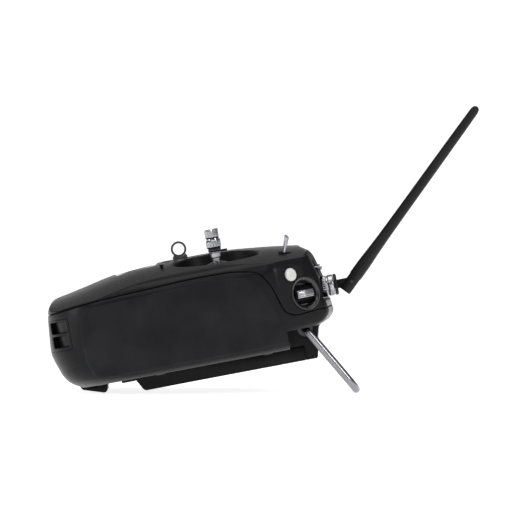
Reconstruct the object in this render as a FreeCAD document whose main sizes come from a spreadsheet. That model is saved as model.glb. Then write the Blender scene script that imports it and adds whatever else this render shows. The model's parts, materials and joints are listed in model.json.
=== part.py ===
import FreeCAD, Part
import math
import os
import re

import Sketcher
from FreeCAD import Placement, Rotation, Vector

# Radio transmitter with two sticks, a folding antenna and a wire carrying handle.
# Every sub-part is drawn in the case frame: +X to the device's right, +Y from the grip end towards the
# antenna end, +Z out of the front face, z = 0 on the back of the battery cover. At the end the whole
# transmitter is tilted onto its foot and handle, the way it stands on a table. Millimetres throughout.

SIZES = {
    # case
    "half_width": 95, "grip_end": 7.2, "antenna_end": 178.8, "grip_corner": 34,
    "shoulder_start": 147, "shoulder_x": 77.5, "shoulder_end": 175.5, "bay_x": 40,
    "wall": 2.2, "back_level": 9, "crown_radius": 467, "crown_top": 74,
    "block_half_width": 46, "lobe_level": 20, "notch_start": 148.5,
    "groove_start": 108, "groove_half_width": 3.6, "groove_top": 17.2,
    # battery cover, latch and foot
    "cover_half_width": 42, "cover_start": 53.5, "cover_end": 157, "cover_wall": 2,
    "box_end": 163.6, "latch_half_width": 12, "foot_half_width": 36,
    # sticks and gimbals
    "stick_x": 50, "stick_y": 115, "pivot_level": 54, "dome_radius": 14.8, "well_radius": 26,
    "frame_side": 46, "frame_wall": 2.5, "frame_depth": 25, "yoke_side": 20, "yoke_bar": 3,
    "pin_radius": 1.5, "pin_fit": 0.05, "shaft_radius": 3.2, "collar_radius": 3.8,
    "stick_grip_radius": 4.45, "stick_tip_radius": 4.2,
    # toggles, buttons and rollers
    "toggle_radius": 0.9, "toggle_length": 13.4, "toggle_ball": 2.2, "toggle_pin": 0.7, "bush_radius": 4,
    "button_radius": 4, "button_y": 157, "button_level": 52.9,
    "dial_y": 163.9, "dial_level": 40.2, "dish_radius": 9.9, "roller_radius": 6.2, "roller_length": 12.4,
    "roller_depth": 7.6, "axle_radius": 1.5,
    # antenna
    "antenna_level": 40.9, "antenna_pivot": 193, "connector_radius": 3.6, "nut_radius": 6.45,
    "nut_start": 174.4, "nut_end": 182.2, "collar_end": 184.3, "neck_radius": 2.6, "tongue": 3,
    "mast_radius": 4, "mast_reach": 130.6, "recess_start": 173.8, "recess_low": 34, "recess_high": 48,
    "mast_tip_radius": 2.6, "antenna_lift": 43.5,
    # handle
    "handle_y": 159.7, "handle_level": 18.7, "handle_radius": 2.25, "arm_half_span": 50,
    "handle_lean": 29.6, "handle_bend": 9, "bush_outer": 4.6,
    # neck-strap ring
    "ring_y": 93.6, "ring_level": 79.6, "ring_radius": 4.1, "ring_wire": 0.65,
    # display and inner boards
    "display_y": 66, "display_half_width": 31, "display_half_height": 12.5, "board_thickness": 1.6,
    # stance
    "tilt": 10.73,
}

doc = FreeCAD.newDocument("transmitter")
sheet = doc.addObject("Spreadsheet::Sheet", "sizes")
for row, (alias, number) in enumerate(SIZES.items(), start=1):
    sheet.set(f"A{row}", alias)
    sheet.set(f"B{row}", str(number))
    sheet.setAlias(f"B{row}", alias)
doc.recompute()

subparts = {}      # label: (object, its place in the case frame)
SIDES = {"right": 1, "left": -1}


# ---------------------------------------------------------------- sheet and sketch helpers

def size(expression):
    """The number that an expression in the sheet's names stands for."""
    return float(sheet.evalExpression(str(expression)))


def linked(expression):
    """The same expression, written for an object outside the sheet."""
    return re.sub(r"[a-z_]{3,}", lambda name: f"sizes.{name[0]}" if name[0] in SIZES else name[0],
                  str(expression))


def bind(feature, **expressions):
    for name, expression in expressions.items():
        feature.setExpression(name, linked(expression))
    return feature


def keep(label, feature, place=None):
    """Register a finished sub-part under its label, with its place in the case frame."""
    feature.Label = label
    subparts[label] = (feature, place or feature.Placement.copy())
    return feature


def origin_plane(body, role):
    return next(plane for plane in body.Origin.OriginFeatures if plane.Role == role)


def sketch_on(body, role):
    sketch = body.newObject("Sketcher::SketchObject", "sketch")
    sketch.AttachmentSupport = [(origin_plane(body, role), "")]
    sketch.MapMode = "FlatFace"
    return sketch


def draw_polygon(sketch, corners):
    """Closed outline whose every corner is held by two dimensions bound to the sheet."""
    points = [Vector(size(x), size(y), 0) for x, y in corners]
    first = sketch.GeometryCount
    for start, end in zip(points, points[1:] + points[:1]):
        sketch.addGeometry(Part.LineSegment(start, end), False)
    for index, corner in enumerate(corners):
        line = first + index
        before = first + (index - 1) % len(corners)
        sketch.addConstraint(Sketcher.Constraint("Coincident", before, 2, line, 1))
        for kind, expression in zip(("DistanceX", "DistanceY"), corner):
            number = sketch.addConstraint(
                Sketcher.Constraint(kind, -1, 1, line, 1, size(expression)))
            sketch.setExpression(f"Constraints[{number}]", linked(expression))


def draw_circle(sketch, radius, x=0, y=0):
    number = sketch.addGeometry(Part.Circle(Vector(size(x), size(y), 0), Vector(0, 0, 1), size(radius)))
    bound = (("Radius", radius), ("DistanceX", x), ("DistanceY", y))
    for kind, expression in bound:
        if kind == "Radius":
            rule = Sketcher.Constraint(kind, number, size(expression))
        else:
            rule = Sketcher.Constraint(kind, -1, 1, number, 3, size(expression))
        added = sketch.addConstraint(rule)
        sketch.setExpression(f"Constraints[{added}]", linked(expression))


def turned(label, corners, place=Placement()):
    """Body turned about its own Z from (radius, height) corners."""
    body = doc.addObject("PartDesign::Body", label)
    sketch = sketch_on(body, "XZ_Plane")
    draw_polygon(sketch, corners)
    turn = body.newObject("PartDesign::Revolution", "turn")
    turn.Profile = sketch
    turn.ReferenceAxis = (sketch, ["V_Axis"])
    turn.Angle = 360
    return keep(label, body, place)


def pocket(body, role, draw, length="200", both=False):
    """Cut what draw() draws on an origin plane, through the body, and prove that it cut."""
    doc.recompute()
    before = body.Shape.Volume
    sketch = sketch_on(body, role)
    draw(sketch)
    cut = body.newObject("PartDesign::Pocket", "cut")
    cut.Profile = sketch
    bind(cut, Length=length)
    cut.Midplane = both
    doc.recompute()
    if body.Shape.Volume > before - 0.01:
        cut.Reversed = True
        doc.recompute()
    assert body.Shape.Volume < before - 0.01, f"{body.Label}: the cut removed nothing"


def plate(label, corners, thickness, place=Placement(), role="XY_Plane", midplane=False):
    """Body padded from a polygon on one of its origin planes."""
    body = doc.addObject("PartDesign::Body", label)
    sketch = sketch_on(body, role)
    draw_polygon(sketch, corners)
    pad = body.newObject("PartDesign::Pad", "pad")
    pad.Profile = sketch
    bind(pad, Length=thickness)
    pad.Midplane = midplane
    return keep(label, body, place)


def rectangle(half_x, half_y, x="0", y="0"):
    return [(f"{x} - ({half_x})", f"{y} - ({half_y})"), (f"{x} + ({half_x})", f"{y} - ({half_y})"),
            (f"{x} + ({half_x})", f"{y} + ({half_y})"), (f"{x} - ({half_x})", f"{y} + ({half_y})")]


def block(name, across, deep, tall, at=(0, 0, 0)):
    """Part::Box centred in X and Y on its place, standing on it in Z."""
    box = bind(doc.addObject("Part::Box", name), Length=across, Width=deep, Height=tall)
    x, y, z = (size(part) for part in at)
    box.Placement.Base = Vector(x - size(across) / 2, y - size(deep) / 2, z)
    return box


def rod(name, radius, length, at=(0, 0, 0), along=Vector(0, 0, 1)):
    """Part::Cylinder starting at its place and running along a direction."""
    cylinder = bind(doc.addObject("Part::Cylinder", name), Radius=radius, Height=length)
    cylinder.Placement = Placement(Vector(*(size(part) for part in at)), Rotation(Vector(0, 0, 1), along))
    return cylinder


def fused(name, *shapes):
    joined = doc.addObject("Part::MultiFuse", name)
    joined.Shapes = list(shapes)
    joined.Refine = True
    return joined


def cut(name, base, *tools):
    result = doc.addObject("Part::Cut", name)
    result.Base = base
    result.Tool = tools[0] if len(tools) == 1 else fused(f"{name}_tools", *tools)
    return result


def grouped(label, members):
    """One node of separate solids: members that were kept under labels of their own."""
    group = doc.addObject("Part::Compound", label)
    for member in members:
        feature, place = subparts.pop(member)
        feature.Placement = place
        group.Links = group.Links + [feature]
    return keep(label, group)


def shaped(label, shape, place=Placement()):
    """Part::Feature for a piece that is trimmed to the moulded case surface."""
    feature = doc.addObject("Part::Feature", label)
    feature.Shape = shape
    return keep(label, feature, place)


# ---------------------------------------------------------------- moulded case surface

# (level, side inset, grip-end inset, antenna-end inset): the outline draws in towards the back, bulges
# into the lip under the shoulders, and draws in again where the walls roll into the front face.
LEVELS = [
    (9, 10, 14.8, 12.8), (11, 6, 11.2, 12.4), (14, 3.2, 7.4, 11.6), (19, 1.4, 4.2, 10),
    (22.5, 0.9, 3, 3.2), (27.5, 0.4, 1.3, 0), (33, 0, 0.2, 0.6), (45, 0, 1.1, 2), (56, 0.3, 2.5, 4.5),
    (61, 2, 4.4, 6), (63.6, 4.4, 7, 7.4), (65, 6.6, 11.8, 9.2), (68, 15, 13.4, 13), (82, 16, 14.6, 15),
]
# (y, z) round the dark bay at the antenna end, up the shoulder and over the top lip
BAY = [(171.3, 34), (171.3, 45), (170.5, 49.5), (165, 51), (165.2, 59), (167.5, 63.6), (171, 66),
       (200, 66), (200, 34)]
# (y, z) of the front face's centre line
CROWN = [(-6, 60.9), (18, 64.6), (34, 67.8), (49, 71), (64, 73), (80, 73.8), (100, 74), (119, 73.7),
         (140, 71.9), (162, 69), (190, 64)]
# (y, z) where the two case halves meet: along the side, down the shoulder, then across the antenna end
SEAM = [(-10, 53), (10, 55.5), (37, 58.6), (72, 60.2), (100, 61.2), (118, 61), (131.4, 59.4),
        (138.3, 57), (143.7, 49.4), (150.3, 31.5), (156.9, 28.6), (168, 29.3), (195, 31)]


def insets(level):
    """Side, grip-end and antenna-end insets at a level, straight between the listed ones."""
    for low, high in zip(LEVELS, LEVELS[1:]):
        if level <= high[0]:
            share = (level - low[0]) / (high[0] - low[0])
            return [a + share * (b - a) for a, b in zip(low[1:], high[1:])]
    return list(LEVELS[-1][1:])


def outline(level, side, grip, antenna):
    """Closed wire of straight runs and tangent arcs round the case at one level."""
    right = [(size("half_width") - side, size("grip_end") + grip, size("grip_corner")),
             (size("half_width") - side, size("shoulder_start"), 10),
             (size("shoulder_x") - side, size("shoulder_end") - antenna, 8),
             (size("bay_x"), size("antenna_end") - antenna, 30)]
    corners = right + [(-x, y, radius) for x, y, radius in reversed(right)]
    edges = []
    last = None
    arcs = []
    for before, here, after in zip(corners[-1:] + corners[:-1], corners, corners[1:] + corners[:1]):
        point = Vector(here[0], here[1], level)
        back = (Vector(before[0], before[1], level) - point).normalize()
        ahead = (Vector(after[0], after[1], level) - point).normalize()
        half = back.getAngle(ahead) / 2
        reach = here[2] / math.tan(half)
        middle = point + (back + ahead).normalize() * (here[2] / math.sin(half) - here[2])
        arcs.append((point + back * reach, middle, point + ahead * reach))
    for arc in arcs + arcs[:1]:
        if last is not None:
            edges.append(Part.LineSegment(last, arc[0]).toShape())
        if len(edges) < 2 * len(arcs):
            edges.append(Part.Arc(*arc).toShape())
        last = arc[2]
    return Part.Wire(edges)


def crown_form(drop):
    """Everything under the front face, which is one line turned about an axis far behind the back."""
    top = Part.BSplineCurve()
    top.interpolate([Vector(0, y, z - drop) for y, z in CROWN])
    start, end = top.StartPoint, top.EndPoint
    floor = -30
    rest = Part.makePolygon([end, Vector(0, end.y, floor), Vector(0, start.y, floor), start])
    face = Part.Face(Part.Wire([top.toShape()] + rest.Edges))
    axis_point = Vector(0, 0, size("crown_top - crown_radius"))
    half_turn = 15
    face.rotate(axis_point, Vector(0, 1, 0), -half_turn)
    return face.revolve(axis_point, Vector(0, 1, 0), 2 * half_turn)


def slab(low, high):
    """Axis-aligned block between two corners."""
    return Part.makeBox(high[0] - low[0], high[1] - low[1], high[2] - low[2], Vector(*low))


def relief(grow):
    """Corner notches, the two channels the handle folds into, and the recess round the antenna nut."""
    block_x = size("block_half_width") - grow
    notch_y = size("notch_start") - grow
    groove_x = size("arm_half_span")
    half = size("groove_half_width") + grow
    pieces = [slab((-130, size("recess_start") - grow, size("recess_low") - grow),
                   (130, 220, size("recess_high") + grow))]
    for side in SIDES.values():
        near, far = sorted((side * block_x, side * 130))
        pieces.append(slab((near, notch_y, -40), (far, 220, size("lobe_level") + grow)))
        pieces.append(slab((side * groove_x - half, size("groove_start") - grow, -40),
                           (side * groove_x + half, notch_y + 1, size("groove_top") + grow)))
    return pieces[0].fuse(pieces[1:])


def case_form(shrink):
    """Solid inside the case surface, moved inwards by shrink (outwards when it is negative)."""
    wires = []
    for level, side, grip, antenna in LEVELS:
        shifted = level + shrink if level < 30 else level - (shrink if level > 50 else 0)
        wires.append(outline(shifted, side + shrink, grip + shrink, antenna + shrink))
    form = Part.makeLoft(wires, True, True)
    return form.common(crown_form(max(shrink, 0)))


def side_region(points, half_width=130):
    """Outline in the case's side view, carried right through the case."""
    wire = Part.makePolygon([Vector(-half_width, y, z) for y, z in points + points[:1]])
    return Part.Face(wire).extrude(Vector(2 * half_width, 0, 0))


def shoulder(y, level):
    """Point and outward direction of the right shoulder facet at a height and level."""
    def point(at_y, at_level):
        side, _, antenna = insets(at_level)
        start = Vector(size("half_width") - side, size("shoulder_start"), at_level)
        end = Vector(size("shoulder_x") - side, size("shoulder_end") - antenna, at_level)
        return start + (end - start) * ((at_y - start.y) / (end.y - start.y))
    here = point(y, level)
    along = (point(y + 1, level) - here).normalize()
    upward = (point(y, level + 1) - here).normalize()
    return here, along.cross(upward).normalize()


def crown_level(x, y):
    """Height of the front face over a point, from its centre line and the turning radius."""
    for low, high in zip(CROWN, CROWN[1:]):
        if y <= high[0]:
            middle = low[1] + (y - low[0]) / (high[0] - low[0]) * (high[1] - low[1])
            break
    radius = size("crown_radius") + middle - size("crown_top")
    return middle - radius + math.sqrt(radius * radius - x * x)


def facing(point, outward, along=None):
    """Place whose +Z is the outward direction and, when given, whose +X is nearest to along."""
    if along is None:
        return Placement(point, Rotation(Vector(0, 0, 1), outward))
    side = outward.cross(along).normalize()
    return Placement(point, Rotation(side.cross(outward), side, outward, "ZXY"))


def mirrored(place):
    """The same place on the left-hand side, for pieces that are alike on both sides."""
    x, y, z = place.Base
    outward = place.Rotation.multVec(Vector(0, 0, 1))
    along = place.Rotation.multVec(Vector(1, 0, 0))
    return facing(Vector(-x, y, z), Vector(-outward.x, outward.y, outward.z),
                  Vector(-along.x, along.y, along.z))


# ---------------------------------------------------------------- stations on the case

button_point, button_out = shoulder(size("button_y"), size("button_level"))
dial_point, dial_out = shoulder(size("dial_y"), size("dial_level"))
along_shoulder = Vector(-dial_out.y, dial_out.x, 0)
front_toggle_point = Vector(60, 156.1, 66.2)
front_toggle_out = Vector(0, math.sin(math.radians(21)), math.cos(math.radians(21)))
end_toggle_point = Vector(62, 166.8, 55.2)
end_toggle_out = Vector(0, math.cos(math.radians(13)), -math.sin(math.radians(13)))
TRIM_SPOTS = {"aileron": (50, 82), "elevator": (20.5, 115), "rudder": (-50, 82), "throttle": (-20.5, 115)}
KEY_SPOTS = {"enter": (15, 85.5), "back": (-15, 85.5)}
SCREW_SPOTS = [(60, 34), (80, 70), (80, 135)]

STATIONS = {
    "button": facing(button_point, button_out, along_shoulder),
    "dial": facing(dial_point, dial_out, along_shoulder),
    "front_toggle": facing(front_toggle_point, front_toggle_out, Vector(1, 0, 0)),
    "end_toggle": facing(end_toggle_point, end_toggle_out, Vector(1, 0, 0)),
}


def on_side(station, side):
    place = STATIONS[station]
    return place if side == 1 else mirrored(place)


def well(side, radius, low=20, high=120):
    middle = Vector(side * size("stick_x"), size("stick_y"), low)
    return Part.makeCylinder(radius, high - low, middle)


def placed_cylinder(place, radius, low, high):
    """Cylinder on a station's own axis, from one depth to another."""
    cylinder = Part.makeCylinder(radius, high - low, Vector(0, 0, low))
    cylinder.Placement = place
    return cylinder


# ---------------------------------------------------------------- case shells and skins

def build_case():
    outer = case_form(0).cut(relief(0))
    inner = case_form(size("wall")).cut(relief(size("wall")))
    shell = outer.cut(inner)
    front_side = side_region([(y, z) for y, z in SEAM] + [(195, 130), (-10, 130)])
    front = shell.common(front_side)
    rear = shell.cut(front_side)

    # antenna bay: a dark plate set into the antenna end, over its full wall
    bay_window = side_region(BAY)
    bay = front.common(bay_window)
    front = front.cut(bay_window)
    axis = size("antenna_level")
    connector_hole = Part.makeCylinder(size("connector_radius + 0.05"), 60, Vector(0, 150, axis),
                                       Vector(0, 1, 0))
    bush_holes = [placed_cylinder(on_side("end_toggle", side), size("bush_radius") + wider, low, 12)
                  for side in SIDES.values() for wider, low in ((0, -9), (1.4, 0.3))]
    dish_holes = [placed_cylinder(on_side("dial", side), size("dish_radius"), -12, 6)
                  for side in SIDES.values()]
    shaped("antenna_bay_plate", bay.cut([connector_hole, *bush_holes, *dish_holes]))

    # corner vents: the wall between two levels at the grip end, opened by two slots
    vents = []
    for side in SIDES.values():
        near, far = sorted((side * 57, side * 120))
        window = slab((near, -10, 33.6), (far, 21.5, 52.2))
        insert = rear.common(window)
        rear = rear.cut(window)
        for low in (35.4, 43.8):
            insert = insert.cut(slab((near + 2.2, 10.6, low), (far - 2.2, 19.5, low + 6.9)))
        vents.append(insert)
    shaped("corner_vents", Part.Compound(vents))

    # display lens, flush with the face
    half_x, half_y = size("display_half_width"), size("display_half_height")
    middle = size("display_y")
    lens_window = slab((-half_x, middle - half_y, 50), (half_x, middle + half_y, 90))
    lens_skin = front.common(lens_window).common(crown_form(0).cut(crown_form(1.2)))
    front = front.cut(slab((-half_x, middle - half_y, 50), (half_x, middle + half_y, 90)))
    shaped("display_lens", lens_skin)

    holes = [placed_cylinder(Placement(Vector(0, size("ring_y"), 40), Rotation()), 2, 0, 40)]
    for side in SIDES.values():
        holes.append(well(side, size("well_radius")))
        holes.append(placed_cylinder(on_side("button", side), size("button_radius") + 0.9, -12, 6))
        holes.append(placed_cylinder(on_side("dial", side), size("dish_radius"), -12, 6))
        holes.append(placed_cylinder(on_side("front_toggle", side), size("bush_radius"), -12, 6))
        holes.append(placed_cylinder(on_side("end_toggle", side), size("bush_radius"), -9, 12))
    for x, y in TRIM_SPOTS.values():
        along_x = abs(x) > 30
        half = (5, 0.8) if along_x else (0.8, 5)
        holes.append(slab((x - half[0], y - half[1], 50), (x + half[0], y + half[1], 90)))
    for x, y in KEY_SPOTS.values():
        holes.append(Part.makeCylinder(4.1, 40, Vector(x, y, 50)))
    holes.append(slab((-4, 112, 50), (4, 130, 90)))
    shaped("front_case", front.cut(holes[0].fuse(holes[1:])))

    # rear half: battery opening, fixed end of the battery box and the handle bush seats
    bay_x = size("cover_half_width - cover_wall - 2")
    rear = rear.cut(slab((-bay_x, 60, -5), (bay_x, 153, 13)))
    start, end, top = size("cover_end") + 0.2, size("box_end"), size("back_level")
    box_end = side_region([(start, 0), (end, 0), (end + 0.8, 1), (end + 2.6, top), (start, top)],
                          size("cover_half_width"))
    rear = rear.fuse(box_end)
    for x, y in SCREW_SPOTS:
        for side in SIDES.values():
            rear = rear.cut(Part.makeCylinder(2.7, 1.05, Vector(side * x, y, size("back_level") - 0.05)))
            rear = rear.cut(Part.makeCylinder(1.35, 12, Vector(side * x, y, size("back_level"))))
    seat = size("handle_y"), size("handle_level")
    for side in SIDES.values():
        seat_hole = Part.makeCylinder(size("bush_outer"), 14, Vector(side * 40, *seat), Vector(side, 0, 0))
        rear = rear.cut(seat_hole)
    shaped("rear_case", rear)

    # grip panels: soft skins that stand 0.8 mm proud of each flank
    proud = 0.8
    skin = case_form(-proud).cut(outer)
    flank = side_region([(27, 50), (29, 56.2), (72, 58.2), (100, 59.2), (130, 57.2), (136.5, 54),
                         (141, 46), (146, 30), (146, 12), (30, 12)])
    for name, side in SIDES.items():
        near, far = sorted((side * 60, side * 130))
        shaped(f"{name}_grip_panel", skin.common(flank).common(slab((near, 0, 0), (far, 200, 90))))


def build_back():
    """Battery cover with its latch, the pack under it, and the foot."""
    cover = doc.addObject("PartDesign::Body", "battery_cover")
    sketch = sketch_on(cover, "YZ_Plane")
    draw_polygon(sketch, [("cover_start", "back_level - 0.3"), ("cover_start + 0.3", "7.4"),
                          ("cover_start + 4", "0.9"), ("cover_start + 5.5", "0"), ("cover_end", "0"),
                          ("cover_end", "back_level - 0.3")])
    pad = cover.newObject("PartDesign::Pad", "pad")
    pad.Profile = sketch
    bind(pad, Length="2 * cover_half_width")
    pad.Midplane = True
    hollow = "cover_half_width - cover_wall"
    pocket(cover, "YZ_Plane", lambda drawn: draw_polygon(
        drawn, [("cover_start + 7", "cover_wall"), ("cover_end - cover_wall", "cover_wall"),
                ("cover_end - cover_wall", "20"), ("cover_start + 7", "20")]),
        length=f"2 * ({hollow})", both=True)
    keep("battery_cover", cover)

    plate("battery_latch", [("45", "6.2"), ("cover_start - 0.05", "6.2"), ("cover_start - 0.05", "8.6"),
                            ("47", "8.6"), ("45", "7.6")],
          "2 * latch_half_width", role="YZ_Plane", midplane=True)
    plate("rear_foot", [("19.8", "9.9"), ("21.4", "7.2"), ("34.2", "3.1"), ("35.9", "4.1"),
                        ("36.9", "8.95"), ("22.4", "8.95")],
          "2 * foot_half_width", role="YZ_Plane", midplane=True)

    cells = [rod(f"cell_{index}", "8.6", "70", at=(x, "67", "11.2"), along=Vector(0, 1, 0))
             for index, x in enumerate(("-26.2", "-8.8", "8.8", "26.2"))]
    wrap = block("cell_wrap", "70", "70", "12", at=("0", "102", "4.6"))
    keep("battery_pack", fused("battery_pack", wrap, *cells))


def build_boards():
    """Main board, radio board, display module and speaker, inside the case."""
    board = plate("main_board", rectangle("66", "42", y="104"), "board_thickness",
                  Placement(Vector(0, 0, 22), Rotation()))
    for x in ("-60", "60"):
        pocket(board, "XY_Plane", lambda drawn, x=x: draw_circle(drawn, "1.6", x, "66"), "10")
    keep("radio_board", block("radio_board", "44", "24", "5.5", at=("0", "152", "25")))
    keep("display_module", block("display_module", "2 * display_half_width - 6",
                                 "2 * display_half_height - 4", "4.5", at=("0", "display_y", "58.5")))
    turned("speaker", [("0", "0"), ("11", "0"), ("14", "3.4"), ("14", "5"), ("0", "5")],
           Placement(Vector(0, 146, 58), Rotation()))


def build_gimbal(name, side):
    """Sprung stick unit: fixed frame, yoke turning about X, stick turning about Y in the yoke."""
    centre = Placement(Vector(side * size("stick_x"), size("stick_y"), size("pivot_level")), Rotation())

    tube = cut(f"{name}_tube",
               block(f"{name}_frame_block", "frame_side", "frame_side", "frame_depth + 4",
                     at=("0", "0", "-frame_depth")),
               block(f"{name}_frame_hollow", "frame_side - 2 * frame_wall", "frame_side - 2 * frame_wall",
                     "frame_depth + 0.5", at=("0", "0", "-frame_depth + 1.6")),
               rod(f"{name}_dome_window", "dome_radius + 0.7", "20", at=("0", "0", "-2")),
               rod(f"{name}_bearing_holes", "pin_radius + pin_fit", "frame_side + 4",
                   at=("-frame_side / 2 - 2", "0", "0"), along=Vector(1, 0, 0)))
    keep(f"{name}_gimbal_frame", tube, centre)

    turned(f"{name}_gimbal_bezel",
           [("dome_radius + 0.8", "4.05"), ("well_radius - 1", "4.05"), ("well_radius - 0.2", "6"),
            ("well_radius - 0.2", "9.2"), ("well_radius - 2", "9.2"), ("dome_radius + 1.4", "5.6")], centre)

    ring = cut(f"{name}_ring",
               block(f"{name}_ring_block", "yoke_side", "yoke_side", "3.6", at=("0", "0", "-1.8")),
               block(f"{name}_ring_hollow", "yoke_side - 2 * yoke_bar", "yoke_side - 2 * yoke_bar", "10",
                     at=("0", "0", "-5")),
               rod(f"{name}_cross_holes", "pin_radius + pin_fit - 0.3", "yoke_side + 4",
                   at=("0", "-yoke_side / 2 - 2", "0"), along=Vector(0, 1, 0)))
    pins = [rod(f"{name}_pin_{end}", "pin_radius", "frame_side / 2 - yoke_side / 2 + 0.5",
                at=(f"{end} * (yoke_side / 2 - 1)", "0", "0"), along=Vector(end, 0, 0)) for end in (-1, 1)]
    keep(f"{name}_gimbal_yoke", fused(f"{name}_gimbal_yoke", ring, *pins), centre)

    dome = cut(f"{name}_dome_solid", bind(doc.addObject("Part::Sphere", f"{name}_ball"),
                                          Radius="dome_radius"),
               bind(doc.addObject("Part::Sphere", f"{name}_ball_hollow"), Radius="dome_radius - 1.6"),
               block(f"{name}_dome_trim", "60", "60", "60", at=("0", "0", "-52.8")),
               rod(f"{name}_dome_hole", "shaft_radius", "40"))
    keep(f"{name}_gimbal_dome", dome, centre)

    cross = rod(f"{name}_cross", "pin_radius - 0.3", "yoke_side - 0.6",
                at=("0", "-yoke_side / 2 + 0.3", "0"), along=Vector(0, 1, 0))
    stem = rod(f"{name}_stem", "shaft_radius", "22.7", at=("0", "0", "-2.4"))
    shaft = fused(f"{name}_shaft_solid", cross, stem)
    keep(f"{name}_stick_shaft", shaft, centre)

    turned(f"{name}_stick_lock_ring",
           [("0", "20.3"), ("3.3", "20.3"), ("collar_radius", "20.8"), ("collar_radius", "22.4"),
            ("0", "22.4")], centre)
    turned(f"{name}_stick_grip",
           [("0", "22.4"), ("3.9", "22.4"), ("stick_grip_radius", "23.2"), ("stick_grip_radius", "26.6"),
            ("3.7", "27.5"), ("3.7", "28.5"), ("0", "28.5")], centre)
    tip = turned(f"{name}_stick_tip",
                 [("0", "28.5"), ("3.7", "28.5"), ("stick_tip_radius", "29.2"),
                  ("stick_tip_radius", "33.2"), ("3.8", "33.5"), ("0", "31.6")], centre)
    pocket(tip, "XZ_Plane", lambda drawn: draw_polygon(
        drawn, [("-0.9", "40"), ("0", "31"), ("0.9", "40")]), "20", both=True)
    pocket(tip, "YZ_Plane", lambda drawn: draw_polygon(
        drawn, [("-0.9", "40"), ("0", "31"), ("0.9", "40")]), "20", both=True)


def build_toggle(label, place, body_radius, body_end):
    """Miniature bat switch: body and bush fixed in the case, lever turning on a ball inside the bush."""
    drum = turned(f"{label}_switch",
                  [("toggle_ball + 0.4", "-5.6"), ("toggle_ball + 0.4", "-1.6"), ("3.1", "0"),
                   ("bush_radius - 0.05", "0"), ("bush_radius - 0.05", "-4"), (body_radius, "-4"),
                   (body_radius, body_end), ("0", body_end), ("0", "-7.2"),
                   ("toggle_ball + 0.4", "-7.2")], place)
    drum.Label = f"{label}_switch"
    ball = bind(doc.addObject("Part::Sphere", f"{label}_ball"), Radius="toggle_ball")
    ball.Placement.Base = Vector(0, 0, -4.2)
    bat = bind(doc.addObject("Part::Cone", f"{label}_bat"), Radius1="toggle_radius * 0.8",
               Radius2="toggle_radius * 1.2", Height="toggle_length")
    bat.Placement.Base = Vector(0, 0, -3.5)
    trunnion = rod(f"{label}_trunnion", "toggle_pin", "2 * toggle_ball + 0.4",
                   at=("-toggle_ball - 0.2", "0", "-4.2"), along=Vector(1, 0, 0))
    keep(f"{label}_lever", fused(f"{label}_lever_solid", ball, bat, trunnion), place)


def build_button(label, place):
    """Round push button in its switch housing; it travels inwards against a spring."""
    turned(f"{label}_button",
           [("0", "-3.6"), ("button_radius", "-3.6"), ("button_radius", "0.5"),
            ("button_radius - 0.5", "1"), ("0", "1.2")], place)
    turned(f"{label}_button_housing",
           [("0", "-5.2"), ("button_radius + 0.3", "-5.2"), ("button_radius + 0.3", "-0.1"),
            ("button_radius + 0.85", "-0.1"), ("button_radius + 0.85", "-12"), ("0", "-12")], place)


def build_dial(label, place):
    """Thumb roller: ribbed bar on a drum whose axle turns in a dished housing."""
    reach = "roller_length / 2"
    drum = rod(f"{label}_drum", "roller_radius", "roller_length", at=(f"-({reach})", "0", "-roller_depth"),
               along=Vector(1, 0, 0))
    axle = rod(f"{label}_axle", "axle_radius", "roller_length + 4",
               at=(f"-({reach}) - 2", "0", "-roller_depth"), along=Vector(1, 0, 0))
    keep(f"{label}_roller", fused(f"{label}_roller_solid", drum, axle), place)

    bar = doc.addObject("PartDesign::Body", f"{label}_roller_bar")
    sketch = sketch_on(bar, "YZ_Plane")
    base = "roller_radius - roller_depth"
    draw_polygon(sketch, [("-2.5", f"{base} - 0.42"), ("2.5", f"{base} - 0.42"), ("2.5", f"{base} + 1"),
                          ("1.6", f"{base} + 1.6"), ("0", f"{base} + 1.8"), ("-1.6", f"{base} + 1.6"),
                          ("-2.5", f"{base} + 1")])
    pad = bar.newObject("PartDesign::Pad", "pad")
    pad.Profile = sketch
    bind(pad, Length="roller_length")
    pad.Midplane = True
    seated = cut(f"{label}_bar_solid", bar,
                 rod(f"{label}_bar_seat", "roller_radius + 0.02", "roller_length + 2",
                     at=(f"-({reach}) - 1", "0", "-roller_depth"), along=Vector(1, 0, 0)))
    keep(f"{label}_roller_bar", seated, place)

    dish = cut(f"{label}_dish_solid",
               rod(f"{label}_dish_block", "dish_radius - 0.05", "15", at=("0", "0", "-15.6")),
               block(f"{label}_dish_slot", "roller_length + 0.8", "2 * roller_radius + 0.8", "30",
                     at=("0", "0", "-14.3")),
               rod(f"{label}_axle_bore", "axle_radius + pin_fit", "40",
                   at=("-20", "0", "-roller_depth"), along=Vector(1, 0, 0)))
    keep(f"{label}_dial_housing", dish, place)


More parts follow.
